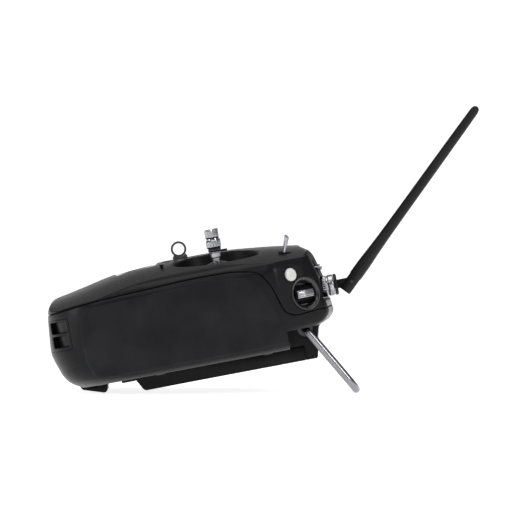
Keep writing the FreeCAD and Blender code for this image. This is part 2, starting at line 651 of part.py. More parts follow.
def build_antenna():
    """Fixed connector and nut, swivelling collar with its neck, hinge pin, folding mast."""
    along = Placement(Vector(0, 0, size("antenna_level")), Rotation(Vector(1, 0, 0), -90))
    turned("antenna_connector",
           [("0", "160"), ("connector_radius", "160"), ("connector_radius", "nut_end"), ("2.4", "nut_end"),
            ("2.4", "nut_end + 1"), ("0", "nut_end + 1")], along)
    nut = "nut_radius"
    turned("antenna_nut",
           [("connector_radius + 0.02", "nut_start"), (f"{nut} - 0.5", "nut_start"), (nut, "nut_start + 0.5"),
            (nut, "nut_start + 3"), (f"{nut} - 0.5", "nut_start + 3.4"), (f"{nut} - 0.5", "nut_start + 4.2"),
            (nut, "nut_start + 4.6"), (nut, "nut_end - 0.5"), (f"{nut} - 0.5", "nut_end"),
            ("connector_radius + 0.02", "nut_end")], along)
    collar = "nut_end + 0.2"
    turned("antenna_collar",
           [("2.4 + pin_fit", collar), (nut, collar), (nut, "collar_end - 0.4"),
            (f"{nut} - 0.4", "collar_end"), ("0", "collar_end"), ("0", "nut_end + 1.2"),
            ("2.4 + pin_fit", "nut_end + 1.2")], along)
    knuckle = rod("antenna_knuckle_solid", "neck_radius + 0.15", "tongue",
                  at=("-tongue / 2", "antenna_pivot", "antenna_level"), along=Vector(1, 0, 0))
    reach = "antenna_pivot - collar_end + 0.3"
    tongue = block("antenna_tongue", "tongue", reach, "2 * neck_radius",
                   at=("0", f"antenna_pivot - ({reach}) / 2", "antenna_level - neck_radius"))
    collar_body = subparts.pop("antenna_collar")[0]
    collar_body.Label = "antenna_collar_solid"
    collar_body.Placement = along
    bored = cut("antenna_swivel", fused("antenna_swivel_solid", collar_body, knuckle, tongue),
                rod("antenna_pin_bore", "1 + pin_fit", "20", at=("-10", "antenna_pivot", "antenna_level"),
                    along=Vector(1, 0, 0)))
    keep("antenna_swivel", bored)

    fold = Placement(Vector(0, size("antenna_pivot"), size("antenna_level")),
                     Rotation(Vector(1, 0, 0), size("antenna_lift") - 90))
    back = "-7.2"
    mast = turned("antenna_mast",
                  [("0", back), ("mast_radius", back), ("mast_radius", "13"), ("3.6", "21"), ("3.3", "30"),
                   ("3.1", "48"), ("2.95", "88"), ("mast_tip_radius + 0.1", "mast_reach - 9"),
                   ("mast_tip_radius", "mast_reach - 3"), ("mast_tip_radius - 0.7", "mast_reach - 0.9"),
                   ("0", "mast_reach")])
    del subparts["antenna_mast"]
    slot = block("mast_slot", "tongue + 0.3", "40", "14", at=("0", "0", "-10"))
    bore = rod("mast_bore", "1", "20", at=("-10", "0", "0"), along=Vector(1, 0, 0))
    mast.Label = "mast_solid"
    keep("antenna_mast", cut("antenna_mast_cut", mast, slot, bore), fold)
    turned("antenna_hinge_pin", [("0", "-3.3"), ("1", "-3.3"), ("1", "3.3"), ("0", "3.3")],
           Placement(fold.Base, Rotation(Vector(0, 1, 0), 90)))


def build_handle():
    """Bent wire handle: two turned-in ends in bushes, two arms and a cross bar."""
    tilt = math.radians(size("tilt"))
    lean = math.radians(size("handle_lean"))
    foot_height = 34.2 * math.sin(tilt) + 3.1 * math.cos(tilt)
    pivot_height = size("handle_y") * math.sin(tilt) + size("handle_level") * math.cos(tilt)
    drop = math.cos(lean) * math.cos(tilt) - math.sin(lean) * math.sin(tilt)
    length = (pivot_height - size("handle_radius") - foot_height) / drop
    span, bend = size("arm_half_span"), size("handle_bend")
    end_bend = 3
    inner_end = 41.5
    corners = [Vector(inner_end, 0, 0), Vector(span, 0, 0), Vector(span, 0, -length),
               Vector(-span, 0, -length), Vector(-span, 0, 0), Vector(-inner_end, 0, 0)]
    radii = [end_bend, bend, bend, end_bend]
    edges = []
    last = corners[0]
    for before, here, after, radius in zip(corners, corners[1:], corners[2:], radii):
        back = (before - here).normalize()
        ahead = (after - here).normalize()
        middle = here + (back + ahead).normalize() * (radius * math.sqrt(2) - radius)
        edges.append(Part.LineSegment(last, here + back * radius).toShape())
        edges.append(Part.Arc(here + back * radius, middle, here + ahead * radius).toShape())
        last = here + ahead * radius
    edges.append(Part.LineSegment(last, corners[-1]).toShape())
    ring = Part.Wire([Part.Circle(corners[0], Vector(1, 0, 0), size("handle_radius")).toShape()])
    bar = Part.Wire(edges).makePipeShell([ring], True, False)
    shaped("handle", bar, Placement(Vector(0, size("handle_y"), size("handle_level")),
                                    Rotation(Vector(1, 0, 0), size("handle_lean"))))
    for name, side in SIDES.items():
        turned(f"{name}_handle_bush",
               [("handle_radius + pin_fit", "0"), ("bush_outer", "0"), ("bush_outer", "5.8"),
                ("handle_radius + pin_fit", "5.8")],
               Placement(Vector(side * 40.6, size("handle_y"), size("handle_level")),
                         Rotation(Vector(0, 1, 0), side * 90)))


def build_strap_ring():
    """Neck-strap eye standing on a small bracket at the middle of the face."""
    across = Placement(Vector(0, size("ring_y"), size("ring_level")), Rotation(Vector(0, 1, 0), 90))
    turned("strap_ring",
           [("ring_radius - ring_wire", "-1.1"), ("ring_radius + ring_wire", "-1.1"),
            ("ring_radius + ring_wire", "1.1"), ("ring_radius - ring_wire", "1.1")], across)
    foot = block("bracket_foot", "7", "9", "2.4", at=("0", "ring_y", "crown_top + 0.01"))
    stem = rod("bracket_stem", "1.9", "8", at=("0", "ring_y", "crown_top - 7"))
    eye = rod("bracket_eye", "ring_radius + ring_wire + 0.02", "9", at=("-4.5", "ring_y", "ring_level"),
              along=Vector(1, 0, 0))
    keep("strap_bracket", cut("strap_bracket_cut", fused("bracket_solid", foot, stem), eye))


def build_face_controls():
    """Trim levers, menu keys and the power switch, standing in slots of the front face."""
    for name, (x, y) in TRIM_SPOTS.items():
        top = crown_level(x, y)
        thin = ("2.4", "1.2") if abs(x) > 30 else ("1.2", "2.4")
        body = block(f"{name}_trim_stem", *thin, "7.2", at=(x, y, top - 6))
        wide = ("5", "2.4") if abs(x) > 30 else ("2.4", "5")
        cap = block(f"{name}_trim_cap", wide[0], wide[1], "1", at=(x, y, top + 0.6))
        keep(f"{name}_trim_lever", fused(f"{name}_trim_solid", body, cap))
    for name, (x, y) in KEY_SPOTS.items():
        top = crown_level(x, y)
        turned(f"{name}_key", [("0", "-3.4"), ("3.7", "-3.4"), ("3.7", "0.5"), ("3.2", "0.9"), ("0", "1.1")],
               Placement(Vector(x, y, top - 0.3), Rotation()))
    knob_y, knob_top = 119, crown_level(0, 119)
    knob = block("power_knob_cap", "6.4", "7", "2.2", at=("0", knob_y, knob_top - 1.2))
    neck = block("power_knob_neck", "4", "4", "6", at=("0", knob_y, knob_top - 7))
    keep("power_switch", fused("power_knob_solid", knob, neck))


def build_screws():
    """Six case screws in the rear shell, one node of separate solids."""
    heads = []
    for index, (x, y) in enumerate(SCREW_SPOTS):
        for side in SIDES.values():
            head = rod(f"screw_head_{index}_{side}", "2.6", "1.6", at=(side * x, y, "back_level - 0.6"))
            shank = rod(f"screw_shank_{index}_{side}", "1.3", "9", at=(side * x, y, "back_level"))
            heads.append(fused(f"screw_{index}_{side}", head, shank))
    group = doc.addObject("Part::Compound", "case_screws")
    group.Links = heads
    keep("case_screws", group)


# ---------------------------------------------------------------- stance, checks and export

def stance():
    """Tilt onto foot and handle, then put the box's bottom centre at the origin."""
    tilt = Placement(Vector(), Rotation(Vector(1, 0, 0), size("tilt")))
    whole = Part.Compound([feature.Shape.copy() for feature, _ in subparts.values()])
    whole.Placement = tilt
    box = whole.optimalBoundingBox(False, False)
    shift = Vector(0, -(box.YMin + box.YMax) / 2, -box.ZMin)
    return Placement(shift, tilt.Rotation)


build_case()
build_back()
build_boards()
build_antenna()
build_handle()
build_strap_ring()
build_face_controls()
build_screws()
for side_name, side_sign in SIDES.items():
    build_gimbal(side_name, side_sign)
    build_toggle(f"{side_name}_front_toggle", on_side("front_toggle", side_sign), "4.9", "-12")
    build_toggle(f"{side_name}_end_toggle", on_side("end_toggle", side_sign), "4.4", "-8.2")
    build_button(side_name, on_side("button", side_sign))
    build_dial(side_name, on_side("dial", side_sign))
both = [f"{name}_" for name in SIDES]
grouped("handle_bushes", [f"{name}handle_bush" for name in both])
grouped("gimbal_bezels", [f"{name}gimbal_bezel" for name in both])
grouped("button_housings", [f"{name}button_housing" for name in both])
grouped("dial_housings", [f"{name}dial_housing" for name in both])
grouped("toggle_switches", [f"{name}{end}_toggle_switch" for name in both for end in ("front", "end")])

doc.recompute()
for feature, place in subparts.values():
    feature.Placement = place
doc.recompute()
standing = stance()
for feature, place in subparts.values():
    feature.Placement = standing.multiply(place)
doc.recompute()

for feature in doc.Objects:
    broken = {"Invalid", "Error"} & set(feature.State)
    assert not broken, f"{feature.Label} failed: {feature.State}"
for label, (feature, _) in subparts.items():
    assert not feature.Shape.isNull() and feature.Shape.isValid(), f"{label} has no valid shape"

os.makedirs("parts", exist_ok=True)
for label, (feature, _) in subparts.items():
    feature.Shape.exportStep(f"parts/{label}.step")
print(len(subparts), "sub-parts; standing place", standing)
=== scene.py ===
import json
import math

import bmesh
import bpy
from mathutils import Matrix, Vector


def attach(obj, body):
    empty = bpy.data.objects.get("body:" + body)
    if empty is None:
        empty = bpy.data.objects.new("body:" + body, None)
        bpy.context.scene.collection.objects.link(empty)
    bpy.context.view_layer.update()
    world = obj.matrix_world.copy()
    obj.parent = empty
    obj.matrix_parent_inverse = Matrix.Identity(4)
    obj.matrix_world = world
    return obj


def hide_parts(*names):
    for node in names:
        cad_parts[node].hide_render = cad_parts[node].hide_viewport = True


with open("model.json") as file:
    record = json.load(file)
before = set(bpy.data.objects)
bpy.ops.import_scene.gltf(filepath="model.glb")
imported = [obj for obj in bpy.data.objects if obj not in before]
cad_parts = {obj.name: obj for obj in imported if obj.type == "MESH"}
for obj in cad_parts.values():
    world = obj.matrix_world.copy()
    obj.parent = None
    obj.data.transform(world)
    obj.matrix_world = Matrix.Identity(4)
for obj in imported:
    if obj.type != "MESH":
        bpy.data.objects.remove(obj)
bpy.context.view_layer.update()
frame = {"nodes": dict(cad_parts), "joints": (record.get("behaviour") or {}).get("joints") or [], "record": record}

# Pieces are drawn in the case frame, in millimetres: +X to the device's right, +Y from the grip end to the
# antenna end, +Z out of the front face, z = 0 on the back of the battery cover. TO_ROW stands them on the
# table, and is worked out from the flat back of the battery cover, which the record gives as a mount.

RECORD = frame["record"]
JOINTS = {joint["name"]: joint for joint in frame["joints"]}
MOUNTS = {mount["name"]: mount for mount in RECORD["mounts"]}
SIDES = {"right": 1, "left": -1}
BACK_FACE_POINT = Vector((0, 110, 0))

back_face = MOUNTS["back_face"]
tilt = Matrix.Rotation(math.atan2(back_face["axis"][1], -back_face["axis"][2]), 4, "X")
stand = Matrix.Translation(Vector(back_face["pos_m"]) - tilt @ (BACK_FACE_POINT / 1000))
TO_ROW = stand @ tilt @ Matrix.Scale(0.001, 4)
TO_CASE = TO_ROW.inverted()


def joint_point(name):
    return TO_CASE @ Vector(JOINTS[name]["pos_m"])


def joint_axis(name):
    return (TO_CASE.to_3x3() @ Vector(JOINTS[name]["axis"])).normalized()


def node_middle(node):
    """Mean of a CAD node's corners, in the case frame."""
    corners = [vertex.co for vertex in frame["nodes"][node].data.vertices]
    return TO_CASE @ (sum(corners, Vector()) / len(corners))


# ---- materials

def node_tree(name):
    material = bpy.data.materials.new(name)
    material.use_nodes = True
    tree = material.node_tree
    return material, tree, tree.nodes["Principled BSDF"]


def link(tree, source, target):
    tree.links.new(source, target)


def noise_node(tree, scale, detail=3.0, stretch=None):
    """Noise over the piece's own coordinates, in cycles per metre."""
    coords = tree.nodes.new("ShaderNodeTexCoord")
    texture = tree.nodes.new("ShaderNodeTexNoise")
    texture.inputs["Scale"].default_value = scale
    texture.inputs["Detail"].default_value = detail
    source = coords.outputs["Object"]
    if stretch:
        mapping = tree.nodes.new("ShaderNodeMapping")
        mapping.inputs["Scale"].default_value = stretch
        link(tree, source, mapping.inputs["Vector"])
        source = mapping.outputs["Vector"]
    link(tree, source, texture.inputs["Vector"])
    return texture


def ramp_node(tree, source, low, high):
    ramp = tree.nodes.new("ShaderNodeValToRGB")
    for element, position, colour in zip(ramp.color_ramp.elements, (0.35, 0.65), (low, high)):
        element.position = position
        element.color = (*colour, 1)
    link(tree, source, ramp.inputs["Fac"])
    return ramp.outputs["Color"]


def grey(value):
    return (value, value, value)


def shade(colour, factor):
    return tuple(min(1, channel * factor) for channel in colour)


def textured(name, colour, roughness, grain, depth, spread=0.25, metal=0.0, coat=0.0, stretch=None,
             specular=0.5, rough_spread=0.06, soft=0.0):
    """Finish with grain in bump, cloudy colour variation, uneven gloss and, when asked, softened edges."""
    material, tree, shader = node_tree(name)
    shader.inputs["Metallic"].default_value = metal
    shader.inputs["Coat Weight"].default_value = coat
    shader.inputs["Coat Roughness"].default_value = 0.08
    shader.inputs["Specular IOR Level"].default_value = specular
    cloud = noise_node(tree, 45, 4)
    tint = ramp_node(tree, cloud.outputs["Fac"], shade(colour, 1 - spread), shade(colour, 1 + spread))
    link(tree, tint, shader.inputs["Base Color"])
    fine = noise_node(tree, grain, 2, stretch)
    gloss = ramp_node(tree, fine.outputs["Fac"], grey(roughness - rough_spread),
                      grey(roughness + rough_spread))
    link(tree, gloss, shader.inputs["Roughness"])
    bump = tree.nodes.new("ShaderNodeBump")
    bump.inputs["Strength"].default_value = 1.0
    bump.inputs["Distance"].default_value = depth
    link(tree, fine.outputs["Fac"], bump.inputs["Height"])
    if soft:
        edge = tree.nodes.new("ShaderNodeBevel")
        edge.samples = 6
        edge.inputs["Radius"].default_value = soft
        link(tree, edge.outputs["Normal"], bump.inputs["Normal"])
    link(tree, bump.outputs["Normal"], shader.inputs["Normal"])
    return material


MATERIALS = {
    "case": textured("case_plastic", (0.0062, 0.0063, 0.0072), 0.3, 2600, 0.00002, specular=0.11,
                     soft=0.0016),
    "grip": textured("grip_skin", (0.0118, 0.0119, 0.0132), 0.6, 3400, 0.00002, specular=0.07),
    "dish": textured("dish_plastic", (0.0064, 0.0065, 0.0074), 0.28, 2600, 0.00002, specular=0.6),
    "bay": textured("bay_plastic", (0.0042, 0.0042, 0.0048), 0.5, 1100, 0.00022, specular=0.06),
    "dark": textured("dark_plastic", (0.006, 0.006, 0.0065), 0.4, 2200, 0.00002, specular=0.07),
    "antenna": textured("antenna_plastic", (0.006, 0.006, 0.0065), 0.36, 1800, 0.00002, specular=0.2),
    "gloss": textured("dome_gloss", (0.006, 0.006, 0.0065), 0.16, 900, 0.000004, coat=0.15,
                      rough_spread=0.03),
    "metal": textured("satin_metal", (0.40, 0.40, 0.41), 0.22, 1500, 0.000008, 0.06, metal=1.0,
                      stretch=(8, 1, 1)),
    "stick": textured("stick_metal", (0.31, 0.31, 0.33), 0.2, 1700, 0.000008, 0.06, metal=1.0),
    "chrome": textured("toggle_chrome", (0.26, 0.26, 0.28), 0.14, 900, 0.000003, 0.04, metal=1.0,
                       rough_spread=0.03),
    "smoky": textured("dark_anodised", (0.045, 0.04, 0.05), 0.3, 1500, 0.000006, 0.1, metal=1.0),
    "handle": textured("handle_metal", (0.27, 0.27, 0.28), 0.27, 1500, 0.000008, 0.08, metal=1.0,
                       stretch=(6, 1, 1)),
    "steel": textured("screw_steel", (0.07, 0.07, 0.075), 0.35, 1500, 0.000008, 0.1, metal=1.0),
    "white": textured("button_white", (0.52, 0.52, 0.51), 0.3, 1600, 0.000008, 0.03, coat=0.2),
    "lens": textured("display_lens", (0.006, 0.007, 0.009), 0.12, 700, 0.000002, coat=0.2,
                     rough_spread=0.03),
    "screen": textured("display_panel", (0.20, 0.23, 0.20), 0.3, 900, 0.000004, 0.1),
    "board": textured("circuit_board", (0.012, 0.09, 0.035), 0.35, 1400, 0.00003, 0.35),
    "wrap": textured("battery_wrap", (0.03, 0.07, 0.26), 0.3, 900, 0.00003, 0.15, coat=0.3),
    "inner": textured("inner_plastic", (0.02, 0.02, 0.021), 0.5, 1800, 0.00002, specular=0.3),
}


# ---- mesh helpers

def place_at(point, outward=Vector((0, 0, 1)), along=None):
    """Case-frame matrix at a point with +Z outward and, when given, +X as near to along as it can be."""
    z = Vector(outward).normalized()
    hint = Vector(along) if along else Vector((1, 0, 0))
    y = z.cross(hint)
    if y.length < 1e-6:
        y = z.cross(Vector((0, 1, 0)))
    y.normalize()
    x = y.cross(z)
    turn = Matrix((x, y, z)).transposed().to_4x4()
    return Matrix.Translation(Vector(point)) @ turn


def new_object(name, data):
    piece = bpy.data.objects.new(name, data)
    bpy.context.scene.collection.objects.link(piece)
    return piece


def mesh_object(name, vertices, faces, place=Matrix.Identity(4)):
    mesh = bpy.data.meshes.new(name)
    mesh.from_pydata([place @ Vector(vertex) for vertex in vertices], [], faces)
    work = bmesh.new()
    work.from_mesh(mesh)
    bmesh.ops.remove_doubles(work, verts=work.verts, dist=1e-4)
    bmesh.ops.recalc_face_normals(work, faces=work.faces)
    work.to_mesh(mesh)
    work.free()
    return new_object(name, mesh)


def apply_modifier(piece, kind, **settings):
    """Put a modifier's result into the piece's own mesh."""
    modifier = piece.modifiers.new(kind.lower(), kind)
    for key, value in settings.items():
        setattr(modifier, key, value)
    graph = bpy.context.evaluated_depsgraph_get()
    mesh = bpy.data.meshes.new_from_object(piece.evaluated_get(graph))
    piece.modifiers.clear()
    old = piece.data
    piece.data = mesh
    bpy.data.meshes.remove(old)


def boolean(piece, tool, operation="DIFFERENCE"):
    apply_modifier(piece, "BOOLEAN", object=tool, operation=operation, solver="MANIFOLD")


def drop(*tools):
    for tool in tools:
        bpy.data.objects.remove(tool)


def carve(piece, *tools):
    """Cut the piece with tools that nothing else needs."""
    for tool in tools:
        boolean(piece, tool)
    drop(*tools)


def merged(name, *parts):
    """One mesh made of several separate closed ones."""
    whole = bmesh.new()
    for part in parts:
        whole.from_mesh(part.data)
    mesh = bpy.data.meshes.new(name)
    whole.to_mesh(mesh)
    whole.free()
    drop(*parts)
    return new_object(name, mesh)


def copied(piece, name):
    return new_object(name, piece.data.copy())


def flipped(piece, name):
    """Mirror image across the case's middle plane."""
    twin = copied(piece, name)
    twin.data.transform(Matrix.Scale(-1, 4, Vector((1, 0, 0))))
    twin.data.flip_normals()
    return twin


def finish_piece(piece, body, material, replaces, bevel=0.0, degrees=32):
    """Round the edges, stand the piece on the table, give it its finish and its body."""
    sharp = math.radians(degrees)
    if bevel:
        apply_modifier(piece, "BEVEL", width=bevel, segments=2, limit_method="ANGLE",
                       angle_limit=sharp, use_clamp_overlap=True)
    for polygon in piece.data.polygons:
        polygon.use_smooth = True
    piece.data.set_sharp_from_angle(angle=sharp)
    piece.data.transform(TO_ROW)
    piece.data.materials.clear()
    piece.data.materials.append(MATERIALS[material])
    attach(piece, body)
    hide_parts(*replaces)


def band_faces(rings, count, closed=False):
    """Quads between rings of count corners each, and from the last ring to the first when closed."""
    faces = []
    for ring in range(rings if closed else rings - 1):
        upper = (ring + 1) % rings
        for step in range(count):
            after = (step + 1) % count
            faces.append((ring * count + step, ring * count + after, upper * count + after,
                          upper * count + step))
    return faces


def end_faces(rings, count):
    """Flat ends on the first and the last ring."""
    last = (rings - 1) * count
    return [tuple(reversed(range(count))), tuple(range(last, last + count))]


def lathe(name, profile, place=Matrix.Identity(4), steps=72, ripple=None):
    """Closed solid turned about +Z from (radius, height) points; ripple(angle, height) adds to the radius."""
    vertices = []
    for radius, height in profile:
        for step in range(steps):
            angle = 2 * math.pi * step / steps
            reach = radius + (ripple(angle, height) if ripple and radius > 0 else 0)
            vertices.append((reach * math.cos(angle), reach * math.sin(angle), height))
    hollow = profile[0][0] > 0 and profile[-1][0] > 0
    return mesh_object(name, vertices, band_faces(len(profile), steps, hollow), place)


def plug(name, radius, low, high, place, steps=72):
    """Plain round cutter, or the hidden core of a piece, along a place's +Z."""
    return lathe(name, [(0, low), (radius, low), (radius, high), (0, high)], place, steps)


def rounded_profile(corners, steps=5):
    """(radius, height, corner radius) points with each corner rounded by a quarter of small chords."""
    points = []
    for index, (x, y, radius) in enumerate(corners):
        here = Vector((x, y))
        if radius <= 0 or index in (0, len(corners) - 1):
            points.append((x, y))
            continue
        before = Vector(corners[index - 1][:2])
        after = Vector(corners[index + 1][:2])
        reach = min(radius, (before - here).length * 0.49, (after - here).length * 0.49)
        start = here + (before - here).normalized() * reach
        end = here + (after - here).normalized() * reach
        for step in range(steps + 1):
            share = step / steps
            point = start * (1 - share) ** 2 + here * 2 * share * (1 - share) + end * share ** 2
            points.append((point.x, point.y))
    return points


def rod(name, radius, half, edge, place, steps=32, ripple=None):
    """Round bar along a place's +Z, half its length to each side, with rounded ends."""
    profile = [(0, -half, 0), (radius, -half, edge), (radius, half, edge), (0, half, 0)]
    return lathe(name, rounded_profile(profile), place, steps, ripple)


def rounded_rectangle(half_x, half_y, radius, steps=6):
    points = []
    for quarter, (sign_x, sign_y) in enumerate(((1, 1), (-1, 1), (-1, -1), (1, -1))):
        for step in range(steps + 1):
            angle = math.radians(90 * quarter + 90 * step / steps)
            points.append((sign_x * (half_x - radius) + radius * math.cos(angle),
                           sign_y * (half_y - radius) + radius * math.sin(angle)))
    return points


def corner_arc(before, here, after, radius):
    """Centre of the arc that rounds a corner, its arms to the arc's start and end, and its sweep."""
    back, ahead = (before - here).normalized(), (after - here).normalized()
    half = back.angle(ahead) / 2
    centre = here + (back + ahead).normalized() * (radius / math.sin(half))
    reach = radius / math.tan(half)
    return centre, here + back * reach - centre, here + ahead * reach - centre, math.pi - 2 * half


def prism(name, outline, low, high, place=Matrix.Identity(4)):
    """Outline in X and Y carried from one height to another."""
    count = len(outline)
    vertices = [(x, y, low) for x, y in outline] + [(x, y, high) for x, y in outline]
    return mesh_object(name, vertices, end_faces(2, count) + band_faces(2, count), place)


def pad(name, middle, half_x, half_y, radius, low, high):
    """Rounded rectangle standing upright round a point (x, y)."""
    outline = rounded_rectangle(half_x, half_y, radius)
    return prism(name, outline, low, high, Matrix.Translation((*middle, 0)))


SIDE_VIEW = Matrix(((0, 0, 1, 0), (1, 0, 0, 0), (0, 1, 0, 0), (0, 0, 0, 1)))


def side_prism(name, points, half_width, middle=0):
    """Outline of (y, z) points carried across the case along X."""
    return prism(name, points, middle - half_width, middle + half_width, SIDE_VIEW)


def block(name, low, high):
    outline = [(low[0], low[1]), (high[0], low[1]), (high[0], high[1]), (low[0], high[1])]
    return prism(name, outline, low[2], high[2])


def swept(name, path, radius, steps=28):
    """Round bar along a path of points, closed at both ends."""
    vertices = []
    tangent = (path[1] - path[0]).normalized()
    side = tangent.orthogonal().normalized()
    for index, point in enumerate(path):
        before = path[max(index - 1, 0)]
        after = path[min(index + 1, len(path) - 1)]
        turned = (after - before).normalized()
        side = (side - turned * side.dot(turned)).normalized()
        up = turned.cross(side)
        for step in range(steps):
            angle = 2 * math.pi * step / steps
            vertices.append(point + (side * math.cos(angle) + up * math.sin(angle)) * radius)
    return mesh_object(name, vertices, end_faces(len(path), steps) + band_faces(len(path), steps))


# ---- moulded case surface

HALF_WIDTH, GRIP_END, ANTENNA_END, GRIP_RADIUS = 95, 7.2, 178.8, 34
SHOULDER_START, SHOULDER_X, SHOULDER_END, BAY_X = 147, 77.5, 175.5, 40
WALL, CROWN_RADIUS, CROWN_TOP, BACK_LEVEL = 2.2, 467, 74, 9
# (level, side inset, grip-end inset, antenna-end inset), as the CAD model has them
LEVELS = [
    (9, 10, 14.8, 12.8), (11, 6, 11.2, 12.4), (14, 3.2, 7.4, 11.6), (19, 1.4, 4.2, 10),
    (22.5, 0.9, 3, 3.2), (27.5, 0.4, 1.3, 0), (33, 0, 0.2, 0.6), (45, 0, 1.1, 2), (56, 0.3, 2.5, 4.5),
    (61, 2, 4.4, 6), (63.6, 4.4, 7, 7.4), (65, 6.6, 11.8, 9.2), (68, 15, 13.4, 13), (82, 16, 14.6, 15),
]
# (y, z) round the dark bay at the antenna end, up the shoulder and over the top lip
BAY = [(171.3, 34), (171.3, 45), (170.5, 49.5), (165, 51), (165.2, 59), (167.5, 63.6), (171, 66),
       (200, 66), (200, 34)]
# (y, z) of the front face's centre line
CROWN = [(-6, 60.9), (18, 64.6), (34, 67.8), (49, 71), (64, 73), (80, 73.8), (100, 74), (119, 73.7),
         (140, 71.9), (162, 69), (190, 64)]
# (y, z) where the two case halves meet
SEAM = [(-10, 53), (10, 55.5), (37, 58.6), (72, 60.2), (100, 61.2), (118, 61), (131.4, 59.4),
        (138.3, 57), (143.7, 49.4), (150.3, 31.5), (156.9, 28.6), (168, 29.3), (195, 31)]


TANGENTS = {}


def curve_tangents(knots, column):
    """Slopes at the knots that keep the curve between them free of overshoot."""
    key = (id(knots), column)
    if key not in TANGENTS:
        slopes = [(b[column] - a[column]) / (b[0] - a[0]) for a, b in zip(knots, knots[1:])]
        inner = [2 * a * b / (a + b) if a * b > 0 else 0.0 for a, b in zip(slopes, slopes[1:])]
        TANGENTS[key] = [slopes[0]] + inner + [slopes[-1]]
    return TANGENTS[key]


def curve_value(knots, at, column=1):
    """Smooth curve through the knots that never overshoots them."""
    if at <= knots[0][0]:
        return knots[0][column]
    if at >= knots[-1][0]:
        return knots[-1][column]
    i = 0
    while at > knots[i + 1][0]:
        i += 1
    low, high, tangents = knots[i], knots[i + 1], curve_tangents(knots, column)
    width = high[0] - low[0]
    share = (at - low[0]) / width
    square, cube = share * share, share * share * share
    return (low[column] * (2 * cube - 3 * square + 1) + high[column] * (3 * square - 2 * cube)
            + width * (tangents[i] * (cube - 2 * square + share) + tangents[i + 1] * (cube - square)))


def crown_level(x, y, sunk=0.0):
    """Height of the front face: its centre line turned about an axis far behind the back."""
    middle = curve_value(CROWN, y)
    radius = CROWN_RADIUS + middle - CROWN_TOP
    return middle - radius + math.sqrt(radius * radius - x * x) - sunk


def case_outline(side, grip, antenna):
    """Points round the case for given insets: straight runs and arcs, always the same count."""
    right = [(HALF_WIDTH - side, GRIP_END + grip, GRIP_RADIUS, 26),
             (HALF_WIDTH - side, SHOULDER_START, 10, 10),
             (SHOULDER_X - side, SHOULDER_END - antenna, 8, 12), (BAY_X, ANTENNA_END - antenna, 30, 4)]
    corners = right + [(-x, y, radius, count) for x, y, radius, count in reversed(right)]
    runs = [70, 16, 14, 36, 14, 16, 70, 60]
    points = []
    arcs = []
    for index, (x, y, radius, count) in enumerate(corners):
        before, after = Vector(corners[index - 1][:2]), Vector(corners[(index + 1) % len(corners)][:2])
        centre, start, _, sweep = corner_arc(before, Vector((x, y)), after, radius)
        arcs.append([centre + Matrix.Rotation(sweep * step / count, 2) @ start for step in range(count + 1)])
    for index, arc in enumerate(arcs):
        after = arcs[(index + 1) % len(arcs)][0]
        points += arc
        run = runs[index]
        points += [arc[-1].lerp(after, step / run) for step in range(1, run)]
    return points


def case_solid(name, shrink=0.0):
    """Closed mesh of the whole case moved inwards by shrink: back, walls and crowned front."""
    rows = []
    low = BACK_LEVEL + shrink
    levels = [low + (68 - shrink - low) * step / 90 for step in range(91)]

    def outline_at(level):
        moved = level - shrink if level < 30 else level + (shrink if level > 50 else 0)
        side, grip, antenna = (curve_value(LEVELS, moved, column) for column in (1, 2, 3))
        return case_outline(side + shrink, grip + shrink, antenna + shrink)

    def towards_middle(point, share):
        middle = Vector((0, min(max(point.y, 60), 125)))
        return point.lerp(middle, share)

    first = outline_at(low)
    for share in (1, 0.8, 0.6, 0.4, 0.2, 0.08):
        rows.append([(*towards_middle(point, share), low) for point in first])
    for level in levels:
        row = []
        for point in outline_at(level):
            row.append((point.x, point.y, min(level, crown_level(point.x, point.y, shrink))))
        rows.append(row)
    last = outline_at(levels[-1])
    for share in [step / 44 for step in range(1, 45)]:
        moved = [towards_middle(point, share) for point in last]
        rows.append([(point.x, point.y, crown_level(point.x, point.y, shrink)) for point in moved])
    count = len(first)
    vertices = [vertex for row in rows for vertex in row]
    return mesh_object(name, vertices, band_faces(len(rows), count))


def crown_shaft(name, x, y, rows, steps=96, ring=False):
    """Solid round a point of the face; rows are (radius, height, True if measured from the face).
    A ring's rows go all the way round its section; otherwise both ends are closed flat."""
    vertices = []
    for radius, height, on_face in rows:
        for step in range(steps):
            angle = 2 * math.pi * step / steps
            px, py = x + radius * math.cos(angle), y + radius * math.sin(angle)
            vertices.append((px, py, height + (crown_level(px, py) if on_face else 0)))
    faces = [] if ring else end_faces(len(rows), steps)
    return mesh_object(name, vertices, faces + band_faces(len(rows), steps, ring))


def face_plate(name, x, y, half_x, half_y, radius, rows):
    """Rounded rectangle on the face; rows are (growth, height above the crown)."""
    vertices = []
    for grow, height in rows:
        outline = rounded_rectangle(half_x + grow, half_y + grow, radius + max(grow, 0), 8)
        vertices += [(x + px, y + py, height + crown_level(x + px, y + py)) for px, py in outline]
    count = len(vertices) // len(rows)
    return mesh_object(name, vertices, end_faces(len(rows), count) + band_faces(len(rows), count))


def face_slot(name, x, y, half_x, half_y, radius, depth, flare=0.35):
    """Cutter for a rounded slot in the face, with a small chamfer that follows the crown."""
    rows = [(0.0, -depth), (0.0, -flare), (flare, 0.02), (flare + 0.6, 3.0)]
    return face_plate(name, x, y, half_x, half_y, radius, rows)


# ---- stations

